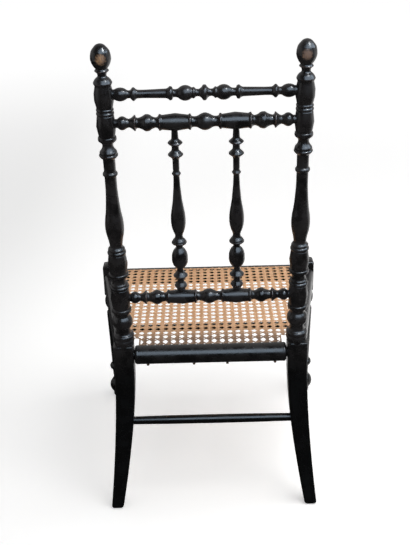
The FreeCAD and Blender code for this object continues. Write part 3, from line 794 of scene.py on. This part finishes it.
@dataclass
class Woodwork:
    """Wooden pieces that share a finish."""

    wood: bpy.types.Material

    def settle(self, shell: Shell, node: str, ending: str) -> None:
        """Make a shell the piece that stands for a node.

        Args:
            shell: the piece's mesh.
            node: the node.
            ending: what its name has after the node's.
        """
        settle(shell.made(f"{node}_{ending}", self.wood), "ebonised_wood", node)

    def settle_pair(self, shell: Shell, node: str, ending: str) -> None:
        """Make a shell the left one of two pieces, and its mirror image the right one.

        Args:
            shell: the left piece's mesh.
            node: what both nodes' names have after their side.
            ending: what the pieces' names have after the nodes'.
        """
        self.settle(shell, "left_" + node, ending)
        self.settle(shell.mirrored(), "right_" + node, ending)

    def settle_turned(self, turning: Turning, place: Matrix, node: str) -> None:
        """Make one turning the piece that stands for a node.

        Args:
            turning: the piece's shape.
            place: the move from the turning's own frame to the chair's.
            node: the node.
        """
        shell = Shell()
        turning.build(shell, place, seed=SEEDS[node])
        self.settle(shell, node, "turned")


@dataclass
class Back(Woodwork):
    """The back: two posts with sabre legs, three turned rails and two spindles."""

    post_radius: float = 0.0155
    rail_half: float = 0.112
    rail_reach: float = 0.006
    lower_radius: float = 0.0108
    upper_radius: float = 0.0113
    crest_radius: float = 0.0100
    spindle_radius: float = 0.0104
    spindle_spread: float = 0.079
    lower_rise: float = 0.0852
    upper_rise: float = 0.3452
    crest_rise: float = 0.3830
    spindle_shoulder: float = 0.0108
    spindle_tail: float = 0.6
    foot_round: float = 0.0042
    foot_steps: int = 4
    leg_ease: float = 0.0012
    # Where the shoulder's easing breaks, as shares of it down from the top and in from the side.
    leg_break: Point = (0.4, 0.3)
    leg_corner: float = 0.17
    leg_crest: float = 0.4125
    leg_steps: int = 28
    rub_across: float = -0.001
    rub_out: float = 0.82
    rub_up: float = 0.962

    def build(self) -> None:
        """Build and dress every piece of the back."""
        self._posts()
        self._rail("crest_rail", CREST_RAIL_SHARES, self.crest_radius, self.crest_rise)
        self._rail("upper_back_rail", BACK_RAIL_SHARES, self.upper_radius, self.upper_rise)
        self._rail("lower_back_rail", BACK_RAIL_SHARES, self.lower_radius, self.lower_rise)
        self._spindle("left_back_spindle", 1)
        self._spindle("right_back_spindle", -1)

    def _posts(self) -> None:
        """The two posts, mirror images of each other."""
        shell = Shell()
        start = PLAN.leg_shoulder - PLAN.seat_height
        length = PLAN.back_length - start
        place = PLAN.raked() @ Matrix.Translation((PLAN.back_spread / 2, 0, start))
        spot = Vector((self.rub_across, self.post_radius * self.rub_out, length * self.rub_up))
        Turning(STILE_SHARES, length, self.post_radius).build(shell, place, spot)
        self._leg(shell)
        self.settle_pair(shell, "back_post", "turned")

    def _leg(self, shell: Shell) -> None:
        """Add the left sabre leg, from the floor to its shoulder, to the post's shell."""
        foot, ease, top = self.foot_round, self.leg_ease, PLAN.leg_shoulder
        turns = [i * math.pi / 2 / self.foot_steps for i in range(self.foot_steps + 1)]
        levels = [(foot * (1 - math.cos(turn)), foot * (1 - math.sin(turn))) for turn in turns]
        for i in range(self.leg_steps):
            levels.append((foot + (top - ease - foot) * (i + 1) / self.leg_steps, 0.0))
        levels += [(top - ease * self.leg_break[0], ease * self.leg_break[1]), (top, ease)]
        rings = []
        for height, inset in levels:
            centre = PLAN.leg_centre(height)
            half = PLAN.leg_width(height) / 2 - inset
            corner = PLAN.leg_width(height) * self.leg_corner
            ring = []
            for x, y in rounded_square(half, corner):
                point = Vector((centre.x + x, centre.y + y, height))
                crest = self.leg_crest if min(abs(x), abs(y)) > half - corner else 0.0
                ring.append(shell.add(point, Vector((x, y, height)), crest))
            rings.append(ring)
        shell.skin(rings)

    def _rail(self, name: str, rows: tuple[Row, ...], radius: float, rise: float) -> None:
        """One turned rail, its ends let into the posts."""
        tail = (1.0 + self.rail_reach / self.rail_half, rows[-1][1], 0.0)
        turning = Turning(both_ways((*rows, tail)), self.rail_half, radius, around=40)
        self.settle_turned(turning, PLAN.raked() @ crosswise(0, rise), name)

    def _spindle(self, name: str, side: int) -> None:
        """One turned spindle, its ends let into the two rails."""
        low = self.lower_rise + self.spindle_shoulder
        length = self.upper_rise - self.lower_rise - self.spindle_shoulder * 2
        tail = self.spindle_shoulder * self.spindle_tail / length
        first, last = SPINDLE_SHARES[0][1], SPINDLE_SHARES[-1][1]
        rows = ((-tail, first, 0.0), *SPINDLE_SHARES, (1 + tail, last, 0.0))
        place = Matrix.Translation((side * self.spindle_spread / 2, 0, low))
        turning = Turning(rows, length, self.spindle_radius, around=36)
        self.settle_turned(turning, PLAN.raked() @ place, name)


@dataclass
class FrontLegs(Woodwork):
    """The two front legs: a square block with a domed top over a turned leg."""

    radius: float = 0.01565
    block_base: float = 0.212
    block_top: float = 0.2705
    dome: float = 0.0335
    edge: float = 0.0012
    edge_break: float = 0.3
    edge_crest: float = 0.3
    dome_crest: float = 0.5
    most_corner: float = 0.9
    # Rings of the dome: each one's share of the block's width, and how many edges it drops.
    dome_rings: tuple[Point, ...] = (
        (1.0, 1.6), (0.985, 0.55), (0.945, 0.1), (0.8, 0.0), (0.6, 0.0), (0.4, 0.0), (0.2, 0.0)
    )

    def build(self) -> None:
        """Build and dress both legs."""
        shell = Shell()
        x, y, _ = box_middle("left_front_leg")
        axis = Matrix.Translation((x, y, 0))
        turning = Turning(FRONT_LEG_SHARES, self.block_base, self.radius, around=44)
        turning.build(shell, axis, seed=SEEDS["left_front_leg"])
        self._block(shell, axis)
        self.settle_pair(shell, "front_leg", "turned")

    def _block(self, shell: Shell, axis: Matrix) -> None:
        """Add the block to the leg's shell."""
        half, base, edge = PLAN.block_width / 2, self.block_base, self.edge
        middle = (base + self.block_top) / 2
        broken = edge * self.edge_break
        levels = ((edge, base), (broken, base + broken), (0.0, base + edge), (0.0, middle))
        rings = []
        for inset, level in levels:
            rings.append(self._ring(shell, axis, half - inset, self.edge_crest, level))
        for share, drop in self.dome_rings:
            crest = self.dome_crest if drop else 0.0
            rings.append(self._ring(shell, axis, half * share, crest, drop=edge * drop))
        top = Vector((0, 0, self.block_top))
        rings.append([shell.add(axis @ top, top)])
        shell.skin(rings)

    def _ring(
        self,
        shell: Shell,
        axis: Matrix,
        half: float,
        crest: float,
        level: float | None = None,
        drop: float = 0.0,
    ) -> list[int]:
        """One ring of the block, level or else following its dome lowered by a drop."""
        ring = []
        for x, y in rounded_square(half, min(self.edge, half * self.most_corner)):
            domed = self.block_top - self.dome + math.sqrt(self.dome**2 - x * x - y * y)
            local = Vector((x, y, domed - drop if level is None else level))
            ring.append(shell.add(axis @ local, local, crest))
        return ring


class Grain(Enum):
    """The way a board's grain runs, as the order of axes that brings it to Z."""

    ACROSS = "yzx"
    BACKWARD = "xzy"


@dataclass
class SeatFrame(Woodwork):
    """The seat's rails: two tapered sides, a front board and the round rear rail."""

    side_round: float = 0.009
    front_round: float = 0.0025
    edge: float = 0.0008
    round_steps: int = 8
    board_crest: float = 0.35
    roller_neck: float = 0.0075
    roller_shoulder: float = 0.0045
    roller_gap: float = 0.0015
    roller_end: float = 0.80
    roller_bow: float = 0.25
    neck_start: float = 1.0005

    def build(self) -> None:
        """Build and dress the seat's rails."""
        self._sides()
        self._front()
        self._roller()

    def _board(
        self, node: str, plan: tuple[Point, ...], rounds: dict[int, float], grain: Grain
    ) -> Shell:
        """A board with rounded edges, as high as its node.

        Args:
            node: the node.
            plan: its outline seen from above, anticlockwise.
            rounds: the rounding of the top along a side of the plan, by that side's first corner.
            grain: the way that its grain runs.

        Returns:
            The board's shell.
        """
        low, high = (corner.z for corner in BOXES[node])
        corners = [Vector(point) for point in plan]
        count = len(corners)
        sides = [rounds.get(k, self.edge) for k in range(count)]
        sizes = [max(sides[k], sides[k - 1]) for k in range(count)]
        levels = [([self.edge] * count, [low] * count), ([0.0] * count, [low + self.edge] * count)]
        for i in range(self.round_steps + 1):
            angle = math.pi / 2 * i / self.round_steps
            insets = [side * (1 - math.cos(angle)) for side in sides]
            levels.append((insets, [high - size * (1 - math.sin(angle)) for size in sizes]))
        shell = Shell()
        shell.skin([self._board_ring(shell, corners, *level, grain) for level in levels])
        return shell

    def _board_ring(
        self,
        shell: Shell,
        corners: list[Vector],
        insets: list[float],
        heights: list[float],
        grain: Grain,
    ) -> list[int]:
        """One ring of a board: its plan with each side moved inward by its own inset."""
        ring = []
        for k, corner in enumerate(corners):
            into = (corner - corners[k - 1]).normalized()
            onward = (corners[(k + 1) % len(corners)] - corner).normalized()
            shift_in = Vector((-into.y, into.x)) * insets[k - 1]
            shift_on = Vector((-onward.y, onward.x)) * insets[k]
            gap = shift_on - shift_in
            cross = into.x * onward.y - into.y * onward.x
            run = (gap.x * onward.y - gap.y * onward.x) / cross
            moved = corner + shift_in + into * run
            point = Vector((moved.x, moved.y, heights[k]))
            ring.append(shell.add(point, getattr(point, grain.value), self.board_crest))
        return ring

    def _sides(self) -> None:
        """The two side rails, mirror images of each other."""
        front_y = BOXES["front_seat_rail"][1].y
        leg_x, leg_y, _ = box_middle("left_front_leg")
        block = PLAN.block_width / 2
        plan = (
            (PLAN.leg_x - PLAN.rail_rear_half, PLAN.rear_edge),
            (PLAN.rail_front_inner, front_y),
            (leg_x - block, front_y),
            (leg_x - block, leg_y + block),
            (PLAN.rail_front_outer, leg_y + block),
            (PLAN.leg_x + PLAN.rail_rear_half, PLAN.rear_edge),
        )
        shell = self._board("left_seat_rail", plan, {4: self.side_round}, Grain.BACKWARD)
        self.settle_pair(shell, "seat_rail", "board")

    def _front(self) -> None:
        """The front rail."""
        low, high = BOXES["front_seat_rail"]
        face = box_middle("left_front_leg")[0] - PLAN.block_width / 2
        plan = ((-face, low.y), (face, low.y), (face, high.y), (-face, high.y))
        shell = self._board("front_seat_rail", plan, {0: self.front_round}, Grain.ACROSS)
        self.settle(shell, "front_seat_rail", "board")

    def _roller(self) -> None:
        """The round rear rail."""
        low, high = BOXES["rear_seat_rail"]
        radius = (high.z - low.z) / 2
        face = PLAN.leg_x - PLAN.leg_top_width / 2 - self.roller_gap
        neck = self.roller_neck / radius
        rows = (
            (0.0, 1.0, 0.0),
            (1 - self.roller_shoulder / face, 1.0, 0.0),
            (1.0, self.roller_end, self.roller_bow),
            (self.neck_start, neck, 0.0),
            (high.x / face, neck, 0.0),
        )
        place = crosswise(*box_middle("rear_seat_rail")[1:])
        self.settle_turned(Turning(both_ways(rows), face, radius), place, "rear_seat_rail")


@dataclass
class Stretchers(Woodwork):
    """The four plain rods that tie the legs together."""

    radius: float = 0.0068
    stop: float = 0.002
    back_height: float = 0.133
    front_height: float = 0.137
    side_height: float = 0.1525

    def build(self) -> None:
        """Build and dress the four rods."""
        x, y, _ = box_middle("left_front_leg")
        flip = Vector((-1, 1, 1))
        back, rear = (PLAN.leg_centre(at) for at in (self.back_height, self.side_height))
        front, fore = (Vector((x, y, at)) for at in (self.front_height, self.side_height))
        self._rod("back_stretcher", back * flip, back)
        self._rod("front_stretcher", front * flip, front)
        self._rod("left_side_stretcher", fore, rear)
        self._rod("right_side_stretcher", fore * flip, rear * flip)

    def _rod(self, name: str, start: Vector, end: Vector) -> None:
        """One rod between two legs' axes, stopping just short of both."""
        half = (end - start).length / 2 - self.stop
        turning = Turning(both_ways(STRETCHER_SHARES), half, self.radius, around=32)
        self.settle_turned(turning, along(start, end), name)


class Strands(Enum):
    """The four ways that the seat's strands run."""

    FRONT_TO_BACK = "front_to_back"
    SIDE_TO_SIDE = "side_to_side"
    RISING = "rising"
    FALLING = "falling"


class RibbonGraph(Graph):
    """The tree that sweeps a domed strip of cane along the edges of a guide mesh."""

    section_edges = 8
    sockets = (
        ("Guide", "INPUT", "NodeSocketGeometry"),
        ("Width", "INPUT", "NodeSocketFloat"),
        ("Thickness", "INPUT", "NodeSocketFloat"),
        ("Seed", "INPUT", "NodeSocketInt"),
        ("Finish", "INPUT", "NodeSocketMaterial"),
        ("Ribbons", "OUTPUT", "NodeSocketGeometry"),
    )

    def __init__(self, name: str) -> None:
        """Make the tree."""
        super().__init__(bpy.data.node_groups.new(name, "GeometryNodeTree"))
        for label, way, kind in self.sockets:
            self.tree.interface.new_socket(label, in_out=way, socket_type=kind)
        given = self.node("NodeGroupInput").outputs
        curve = self.out("GeometryNodeMeshToCurve", "Curve", {"Mesh": given["Guide"]})
        curve = self.out("GeometryNodeSetCurveNormal", "Curve", {"Curve": curve}, mode="Z_UP")
        length = self.out("GeometryNodeSplineParameter", "Length")
        curve = self._store(curve, "strand_along", length)
        draw = {"ID": self.out("GeometryNodeInputIndex", "Index"), "Seed": given["Seed"]}
        tone = self.out("FunctionNodeRandomValue", "Value", draw, data_type="FLOAT")
        curve = self._store(curve, "strand_tone", tone, domain="CURVE")
        sweep = {"Curve": curve, "Profile Curve": self._section(given), "Fill Caps": True}
        mesh = self.out("GeometryNodeCurveToMesh", "Mesh", sweep)
        names = {"X": "strand_across", "Y": "strand_tone", "Z": "strand_along"}
        place = {axis: self._stored(value) for axis, value in names.items()}
        vector = self.out("ShaderNodeCombineXYZ", "Vector", place)
        mesh = self._store(mesh, "strand_place", vector, data_type="FLOAT_VECTOR")
        for kind in ("GeometryNodeSetShadeSmooth", "GeometryNodeRealizeInstances"):
            mesh = self.out(kind, "Geometry", {"Geometry": mesh})
        dressed = {"Geometry": mesh, "Material": given["Finish"]}
        mesh = self.out("GeometryNodeSetMaterial", "Geometry", dressed)
        self.node("NodeGroupOutput", {"Ribbons": mesh})

    def _section(self, given: dict[str, Socket]) -> Socket:
        """The strip's section, a circle squashed to its width and thickness."""
        ring = {"Resolution": self.section_edges, "Radius": 0.5}
        circle = self.out("GeometryNodeCurvePrimitiveCircle", "Curve", ring, mode="RADIUS")
        axes = self.axes(self.out("GeometryNodeInputPosition", "Position"))
        flat = {}
        for axis, size in (("X", "Width"), ("Y", "Thickness")):
            inputs = {0: axes[axis], 1: given[size]}
            flat[axis] = self.out("ShaderNodeMath", "Value", inputs, operation="MULTIPLY")
        moved = {"Geometry": circle, "Position": self.out("ShaderNodeCombineXYZ", "Vector", flat)}
        circle = self.out("GeometryNodeSetPosition", "Geometry", moved)
        return self._store(circle, "strand_across", flat["X"])

    def _store(
        self,
        geometry: Socket,
        name: str,
        value: Socket,
        data_type: str = "FLOAT",
        domain: str = "POINT",
    ) -> Socket:
        """Keep a value on a geometry under a name."""
        inputs = {"Geometry": geometry, "Name": name, "Value": value}
        settings = {"data_type": data_type, "domain": domain}
        return self.out("GeometryNodeStoreNamedAttribute", "Geometry", inputs, **settings)

    def _stored(self, name: str) -> Socket:
        """A value that was kept under a name."""
        kind = "GeometryNodeInputNamedAttribute"
        return self.out(kind, "Attribute", {"Name": name}, data_type="FLOAT")


@dataclass
class CaneSeat:
    """The seat's six-way cane weave, its binder and the ties over it."""

    cane: bpy.types.Material
    pitch: float = 0.0122
    pair_gap: float = 0.00118
    strand_width: float = 0.00240
    strand_thickness: float = 0.0006
    pair_weave: float = 0.55
    diagonal_weave: float = 0.7
    weave_lift: float = 0.2
    line_inset: float = 0.006
    front_lap: float = 0.0054
    rear_lap: float = 0.006
    corner_gap: float = 0.008
    corner_depth: float = 0.026
    corner_round: float = 0.012
    corner_steps: int = 4
    rear_dip: float = 0.0045
    dip_length: float = 0.030
    binder_width: float = 0.0042
    binder_thickness: float = 0.0012
    binder_lift: float = 1.6
    tie_thickness: float = 0.0007
    # Points over the binder, as shares of half its width and heights over its middle.
    tie_arch: tuple[Point, ...] = (
        (-1.25, -0.0008), (-0.95, 0.0004), (-0.5, 0.0009),
        (0.5, 0.0009), (0.95, 0.0004), (1.25, -0.0008),
    )
    steps_per_hole: int = 6
    seed: int = 7

    def build(self) -> None:
        """Build and dress the weave, the binder and its ties."""
        tree = RibbonGraph("cane_ribbons").tree
        outline = self._hole_line()
        down, level, rising, falling = (self._paths(way, outline) for way in Strands)
        top = PLAN.seat_height + self.strand_thickness * self.binder_lift
        rim = [Vector((p.x, p.y, top)) for p in outline[2:-2]]
        strand = (self.strand_width, self.strand_thickness)
        binder = (self.binder_width, self.binder_thickness)
        tie = (self.strand_width, self.tie_thickness)
        for name, node, paths, size in (
            ("cane_front_to_back", "cane_seat", down + self._corner_paths(outline), strand),
            ("cane_side_to_side", "cane_seat", level, strand),
            ("cane_diagonals", "cane_seat", rising + falling, strand),
            ("cane_binder_strip", "cane_binder", [rim], binder),
            ("cane_binder_ties", "cane_binder", self._tie_paths(rim), tie),
        ):
            settle(self._ribbons(name, paths, tree, *size), "cane", node)

    def _inner_edge(self, y: float) -> float:
        """The left side rail's inner edge at a place along Y."""
        rear_x, rear_y = PLAN.leg_x - PLAN.rail_rear_half, PLAN.rear_edge
        front_y = BOXES["front_seat_rail"][1].y
        return rear_x + (PLAN.rail_front_inner - rear_x) * (y - rear_y) / (front_y - rear_y)

    def _hole_line(self) -> list[Vector]:
        """The outline of the holes round the seat, from the left rear corner by the front."""
        front = BOXES["front_seat_rail"][1].y - self.front_lap
        notch_y = PLAN.seat_line - self.corner_depth
        notch_x = PLAN.leg_x - PLAN.leg_top_width / 2 - self.corner_gap
        rear = box_middle("rear_seat_rail")[1] - self.rear_lap
        corner = Vector((self._inner_edge(front) + self.line_inset, front))
        side = Vector((self._inner_edge(notch_y) + self.line_inset, notch_y))
        before = corner + (side - corner).normalized() * self.corner_round
        after = corner - Vector((self.corner_round, 0))
        shares = [i / self.corner_steps for i in range(self.corner_steps + 1)]
        turn = [before.lerp(corner, t).lerp(corner.lerp(after, t), t) for t in shares]
        left = [Vector((notch_x, rear)), Vector((notch_x, notch_y)), side] + turn
        return left + [Vector((-p.x, p.y)) for p in reversed(left)]

    @staticmethod
    def _inside(point: Vector, outline: list[Vector]) -> bool:
        """Whether a point lies inside an outline."""
        crossings = 0
        for a, b in zip(outline, outline[1:] + outline[:1]):
            if (a.y > point.y) != (b.y > point.y):
                at = a.x + (point.y - a.y) / (b.y - a.y) * (b.x - a.x)
                crossings += point.x < at
        return crossings % 2 == 1

    def _height(self, way: Strands, side: int, point: Vector) -> float:
        """The height of a strand's middle at a point, over and under in turn."""
        across = math.tau * point.x / self.pitch
        down = math.tau * point.y / self.pitch
        pair = self.pair_weave * self.strand_thickness
        diagonal = self.diagonal_weave * self.strand_thickness
        weave = {
            Strands.FRONT_TO_BACK: pair * math.sin(down) * -side,
            Strands.SIDE_TO_SIDE: pair * math.sin(across) * side,
            Strands.RISING: diagonal * math.cos(across),
            Strands.FALLING: -diagonal * math.cos(across),
        }
        return self._level(point) + weave[way]

    def _level(self, point: Vector) -> float:
        """The height of the weave's middle at a point, dipping to the roller at the rear."""
        dip_start = box_middle("rear_seat_rail")[1] - self.dip_length
        near = max(0.0, min(1.0, (point.y - dip_start) / self.dip_length))
        flat = PLAN.seat_height + self.strand_thickness * self.weave_lift
        return flat - self.rear_dip * near * near * (3 - 2 * near)

    def _corner_paths(self, outline: list[Vector]) -> list[list[Vector]]:
        """The strands that close the weave's edges beside the back legs."""
        steps = self.steps_per_hole
        paths = []
        for corner in (outline[:3], outline[-3:]):
            for a, b in zip(corner, corner[1:]):
                flat = [a.lerp(b, i / steps) for i in range(steps + 1)]
                lift = self.strand_thickness
                paths.append([Vector((p.x, p.y, self._level(p) + lift)) for p in flat])
        return paths

    def _pairs(self, holes: range) -> list[tuple[float, int]]:
        """The place and the side of both strands at each of a row of holes."""
        sides = (-1, 1)
        return [(self.pitch * i + self.pair_gap * side, side) for i in holes for side in sides]

    def _paths(self, way: Strands, outline: list[Vector]) -> list[list[Vector]]:
        """The middle lines of every strand that runs one way, cut to the outline."""
        low = Vector((min(p.x for p in outline), min(p.y for p in outline)))
        high = Vector((max(p.x for p in outline), max(p.y for p in outline)))
        reach = int((high.x - low.x + high.y - low.y) / self.pitch) + 2
        lines = []
        if way is Strands.FRONT_TO_BACK:
            for x, side in self._pairs(range(-reach, reach + 1)):
                lines.append((side, Vector((x, low.y)), Vector((x, high.y))))
        elif way is Strands.SIDE_TO_SIDE:
            first = math.ceil(low.y / self.pitch)
            for y, side in self._pairs(range(first, first + reach)):
                lines.append((side, Vector((low.x, y)), Vector((high.x, y))))
        else:
            slope = 1 if way is Strands.RISING else -1
            for k in range(-reach * 2, reach * 2 + 1):
                offset = self.pitch * (k + 0.5)
                lines.append((1, *(Vector((x, slope * x + offset)) for x in (low.x, high.x))))
        return [run for line in lines for run in self._cut(way, *line, outline)]

    def _cut(
        self, way: Strands, side: int, start: Vector, end: Vector, outline: list[Vector]
    ) -> list[list[Vector]]:
        """One line's stretches inside the outline, as points with their heights."""
        step = self.pitch / self.steps_per_hole
        if way in (Strands.RISING, Strands.FALLING):
            step *= math.sqrt(2)
        runs: list[list[Vector]] = [[]]
        for i in range(int((end - start).length / step) + 2):
            flat = start + (end - start).normalized() * (step * i)
            if self._inside(flat, outline):
                runs[-1].append(Vector((flat.x, flat.y, self._height(way, side, flat))))
            elif runs[-1]:
                runs.append([])
        return [run for run in runs if len(run) > 2]

    def _tie_paths(self, rim: list[Vector]) -> list[list[Vector]]:
        """Short loops over the binder, one at every hole."""
        paths = []
        half = self.binder_width / 2
        for a, b in zip(rim, rim[1:]):
            run = b - a
            count = int(run.length / self.pitch)
            out = Vector((-run.y, run.x, 0)).normalized()
            for i in range(count):
                middle = a + run * ((i + 0.5) / count)
                paths.append([
                    middle + out * (half * share) + Vector((0, 0, lift))
                    for share, lift in self.tie_arch
                ])
        return paths

    def _ribbons(
        self,
        name: str,
        paths: list[list[Vector]],
        tree: bpy.types.NodeTree,
        width: float,
        thickness: float,
    ) -> bpy.types.Object:
        """Sweep a ribbon along paths with the ribbon tree.

        Args:
            name: the piece's name.
            paths: the ribbons' middle lines.
            tree: the ribbon tree.
            width: the ribbons' width.
            thickness: the ribbons' thickness.

        Returns:
            The ribbons as one plain mesh.
        """
        points, edges = [], []
        for path in paths:
            first = len(points)
            edges += [(first + i, first + i + 1) for i in range(len(path) - 1)]
            points += [tuple(p) for p in path]
        guide = bpy.data.meshes.new(name + "_guide")
        guide.from_pydata(points, edges, [])
        holder = linked(name + "_guide", guide)
        modifier = holder.modifiers.new("ribbons", "NODES")
        modifier.node_group = tree
        values = {"Width": width, "Thickness": thickness, "Finish": self.cane, "Seed": self.seed}
        for item in tree.interface.items_tree:
            if item.item_type == "SOCKET" and item.in_out == "INPUT" and item.name in values:
                modifier[item.identifier] = values[item.name]
        depsgraph = bpy.context.evaluated_depsgraph_get()
        mesh = bpy.data.meshes.new_from_object(holder.evaluated_get(depsgraph))
        holder.modifiers.remove(modifier)
        bpy.data.objects.remove(holder)
        bpy.data.meshes.remove(guide)
        mesh.name = name
        return linked(name, mesh)


@dataclass(frozen=True)
class Lamp:
    """A rectangular soft light, which can be kept from matt surfaces or out of reflections."""

    name: str
    power: float
    colour: Colour
    spot: Place
    aim: Place
    size: Point
    matt: bool = True
    gloss: bool = True

    def hang(self) -> None:
        """Put the light in the scene."""
        data = bpy.data.lights.new(self.name, "AREA")
        data.shape = "RECTANGLE"
        data.size, data.size_y = self.size
        data.energy = self.power
        data.color = self.colour
        light = linked(self.name, data)
        towards = Vector(self.aim) - Vector(self.spot)
        turn = towards.to_track_quat("-Z", "Y").to_matrix().to_4x4()
        light.matrix_world = Matrix.Translation(self.spot) @ turn
        light.visible_diffuse = self.matt
        light.visible_glossy = self.gloss


@dataclass
class Studio:
    """The floor, the lamps, the world and the camera."""

    focal_pixels: float = 850.0
    photo_height: float = 545.0
    sensor_width: float = 36.0
    camera_x: float = 0.002
    camera_back: float = 1.1004
    camera_height: float = 0.8647
    heading: float = 179.833
    pitch: float = 24.106
    roll: float = -1.45
    floor_size: float = 14.0
    ambient: float = 0.40
    gloss_behind_camera: float = 0.016
    gloss_backdrop: float = 0.48
    gloss_turn: Point = (-0.45, 0.35)
    floor_dimming: float = 0.98
    floor_white: float = 1.0
    bounced_white: float = 0.80
    floor_roughness: float = 0.9
    glow: Point = (0.40, 0.60)
    glow_reach: Point = (0.9, 3.0)
    shade: float = 0.14
    shade_side: Point = (0.20, 0.60)
    shade_reach: Point = (2.2, 4.0)
    dim_reach: Point = (1.0, 1.7)
    dim_rear: Point = (-0.22, -0.05)
    dim_side: Point = (0.0, 0.1)
    lamps: tuple[Lamp, ...] = (
        Lamp(
            "key_softbox", 40.0, (0.66, 0.82, 1.0),
            (-0.58, 1.35, 1.60), (0.0, 0.05, 0.35), (2.2, 1.4), matt=False,
        ),
        Lamp(
            "side_softbox", 17.0, (0.64, 0.81, 1.0),
            (-1.70, 0.20, 1.50), (0.0, 0.10, 0.35), (1.2, 0.9), matt=False,
        ),
        Lamp(
            "top_softbox", 13.5, (1.0, 0.99, 0.97),
            (-0.78, 0.16, 1.55), (0.0, 0.0, 0.1), (1.4, 1.1), gloss=False,
        ),
        Lamp(
            "key_core", 11.5, (0.93, 0.97, 1.0),
            (-0.75, 0.70, 1.9), (0.0, 0.05, 0.40), (0.28, 0.24), matt=False,
        ),
        Lamp(
            "left_panel", 2.4, (0.95, 0.97, 1.0), (1.7, 0.5, 0.7), (0.0, 0.1, 0.4), (1.2, 1.6)
        ),
        Lamp(
            "right_panel", 1.6, (0.90, 0.95, 1.0), (-1.7, 0.2, 0.7), (0.0, 0.1, 0.4), (0.6, 1.4)
        ),
    )

    def build(self) -> None:
        """Set up everything that isn't part of the chair."""
        self._camera()
        self._world()
        self._floor()
        for lamp in self.lamps:
            lamp.hang()
        bpy.context.scene.view_settings.view_transform = "Standard"

    def _camera(self) -> None:
        """The camera at the photograph's place, angle and focal length."""
        data = bpy.data.cameras.new("photo_camera")
        data.sensor_width = self.sensor_width
        data.lens = data.sensor_width * self.focal_pixels / self.photo_height
        camera = linked("photo_camera", data)
        turn = Matrix.Rotation(-math.radians(self.heading), 4, "Z")
        tilt = Matrix.Rotation(math.radians(90 - self.pitch), 4, "X")
        lean = Matrix.Rotation(math.radians(self.roll), 4, "Z")
        spot = (self.camera_x, PLAN.seat_line + self.camera_back, self.camera_height)
        camera.matrix_world = Matrix.Translation(spot) @ turn @ tilt @ lean
        bpy.context.scene.camera = camera

    def _world(self) -> None:
        """Even surroundings, full white to the camera and uneven to gloss."""
        world = bpy.data.worlds.new("studio")
        world.use_nodes = True
        graph = Graph(world.node_tree)
        path = graph.node("ShaderNodeLightPath").outputs
        way = graph.axes(graph.spot("Generated"))["Y"]
        room = graph.ramp(way, *self.gloss_turn, self.gloss_backdrop, self.gloss_behind_camera)
        inputs = {"Value": path["Is Glossy Ray"], "To Min": self.ambient, "To Max": room}
        seen = graph.out("ShaderNodeMapRange", "Result", inputs)
        level = graph.maths("MAXIMUM", path["Is Camera Ray"], seen)
        inputs = {"Color": (1.0, 1.0, 1.0, 1.0), "Strength": level}
        light = graph.out("ShaderNodeBackground", "Background", inputs)
        graph.node("ShaderNodeOutputWorld", {"Surface": light})
        bpy.context.scene.world = world

    def _floor(self) -> None:
        """A pale floor that keeps the chair's shadow."""
        half = self.floor_size / 2
        corners = [(x * half, y * half, 0) for x, y in ((-1, -1), (1, -1), (1, 1), (-1, 1))]
        mesh = bpy.data.meshes.new("floor")
        mesh.from_pydata(corners, [], [(0, 1, 2, 3)])
        mesh.materials.append(self._floor_material())
        floor = linked("floor", mesh)

    def _floor_material(self) -> bpy.types.Material:
        """The floor's finish: white, glowing to the camera and dimmed for the chair's gloss."""
        surface = Surface("pale_floor")
        ramp, times, maths = surface.ramp, surface.times, surface.maths
        path = surface.node("ShaderNodeLightPath").outputs
        camera, gloss = path["Is Camera Ray"], path["Is Glossy Ray"]
        axes = surface.axes(surface.spot())
        far = surface.out("ShaderNodeVectorMath", "Value", {0: surface.spot()}, operation="LENGTH")
        white = surface.blend(camera, (self.bounced_white,) * 3, (self.floor_white,) * 3)
        inputs = {"Base Color": white, "Roughness": self.floor_roughness}
        surface.fill(surface.shader, inputs | {"Specular IOR Level": 0.0})
        left = ramp(axes["X"], *self.shade_side, 0.0, self.shade)
        shaded = times(left, ramp(far, *self.shade_reach, 1.0, 0.0))
        glow = maths("SUBTRACT", ramp(far, *self.glow_reach, *self.glow), shaded)
        glow = {"Strength": times(glow, maths("MAXIMUM", camera, gloss))}
        lit = {0: surface.shader.outputs["BSDF"]}
        lit[1] = surface.out("ShaderNodeEmission", "Emission", glow)
        beyond = ramp(far, *self.dim_reach, self.floor_dimming, 1.0)
        rear, side = ramp(axes["Y"], *self.dim_rear), ramp(axes["X"], *self.dim_side)
        dimmed = {"Fac": times(times(beyond, maths("MAXIMUM", rear, side)), gloss)}
        dimmed[1] = surface.out("ShaderNodeAddShader", "Shader", lit)
        dim = {"Strength": self.gloss_behind_camera}
        dimmed[2] = surface.out("ShaderNodeEmission", "Emission", dim)
        mixed = surface.out("ShaderNodeMixShader", "Shader", dimmed)
        surface.fill(surface.output, {"Surface": mixed})
        return surface.material


def dress_pegs() -> None:
    """Give the frame's own cane pegs their finish."""
    finish = PegFinish().material("whittled_peg")
    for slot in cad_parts["cane_pegs"].material_slots:
        slot.material = finish
    LOG.info("cane_pegs: dressed")


def main() -> None:
    """Build the chair and its studio, and log the size of each new piece."""
    logging.basicConfig(level=logging.INFO, format="%(name)s %(message)s")
    wood = EbonisedFinish().material("ebonised_wood")
    cane = CaneFinish().material("woven_cane")
    Studio().build()
    Back(wood).build()
    FrontLegs(wood).build()
    SeatFrame(wood).build()
    Stretchers(wood).build()
    CaneSeat(cane).build()
    dress_pegs()


if __name__ == "__main__":
    main()
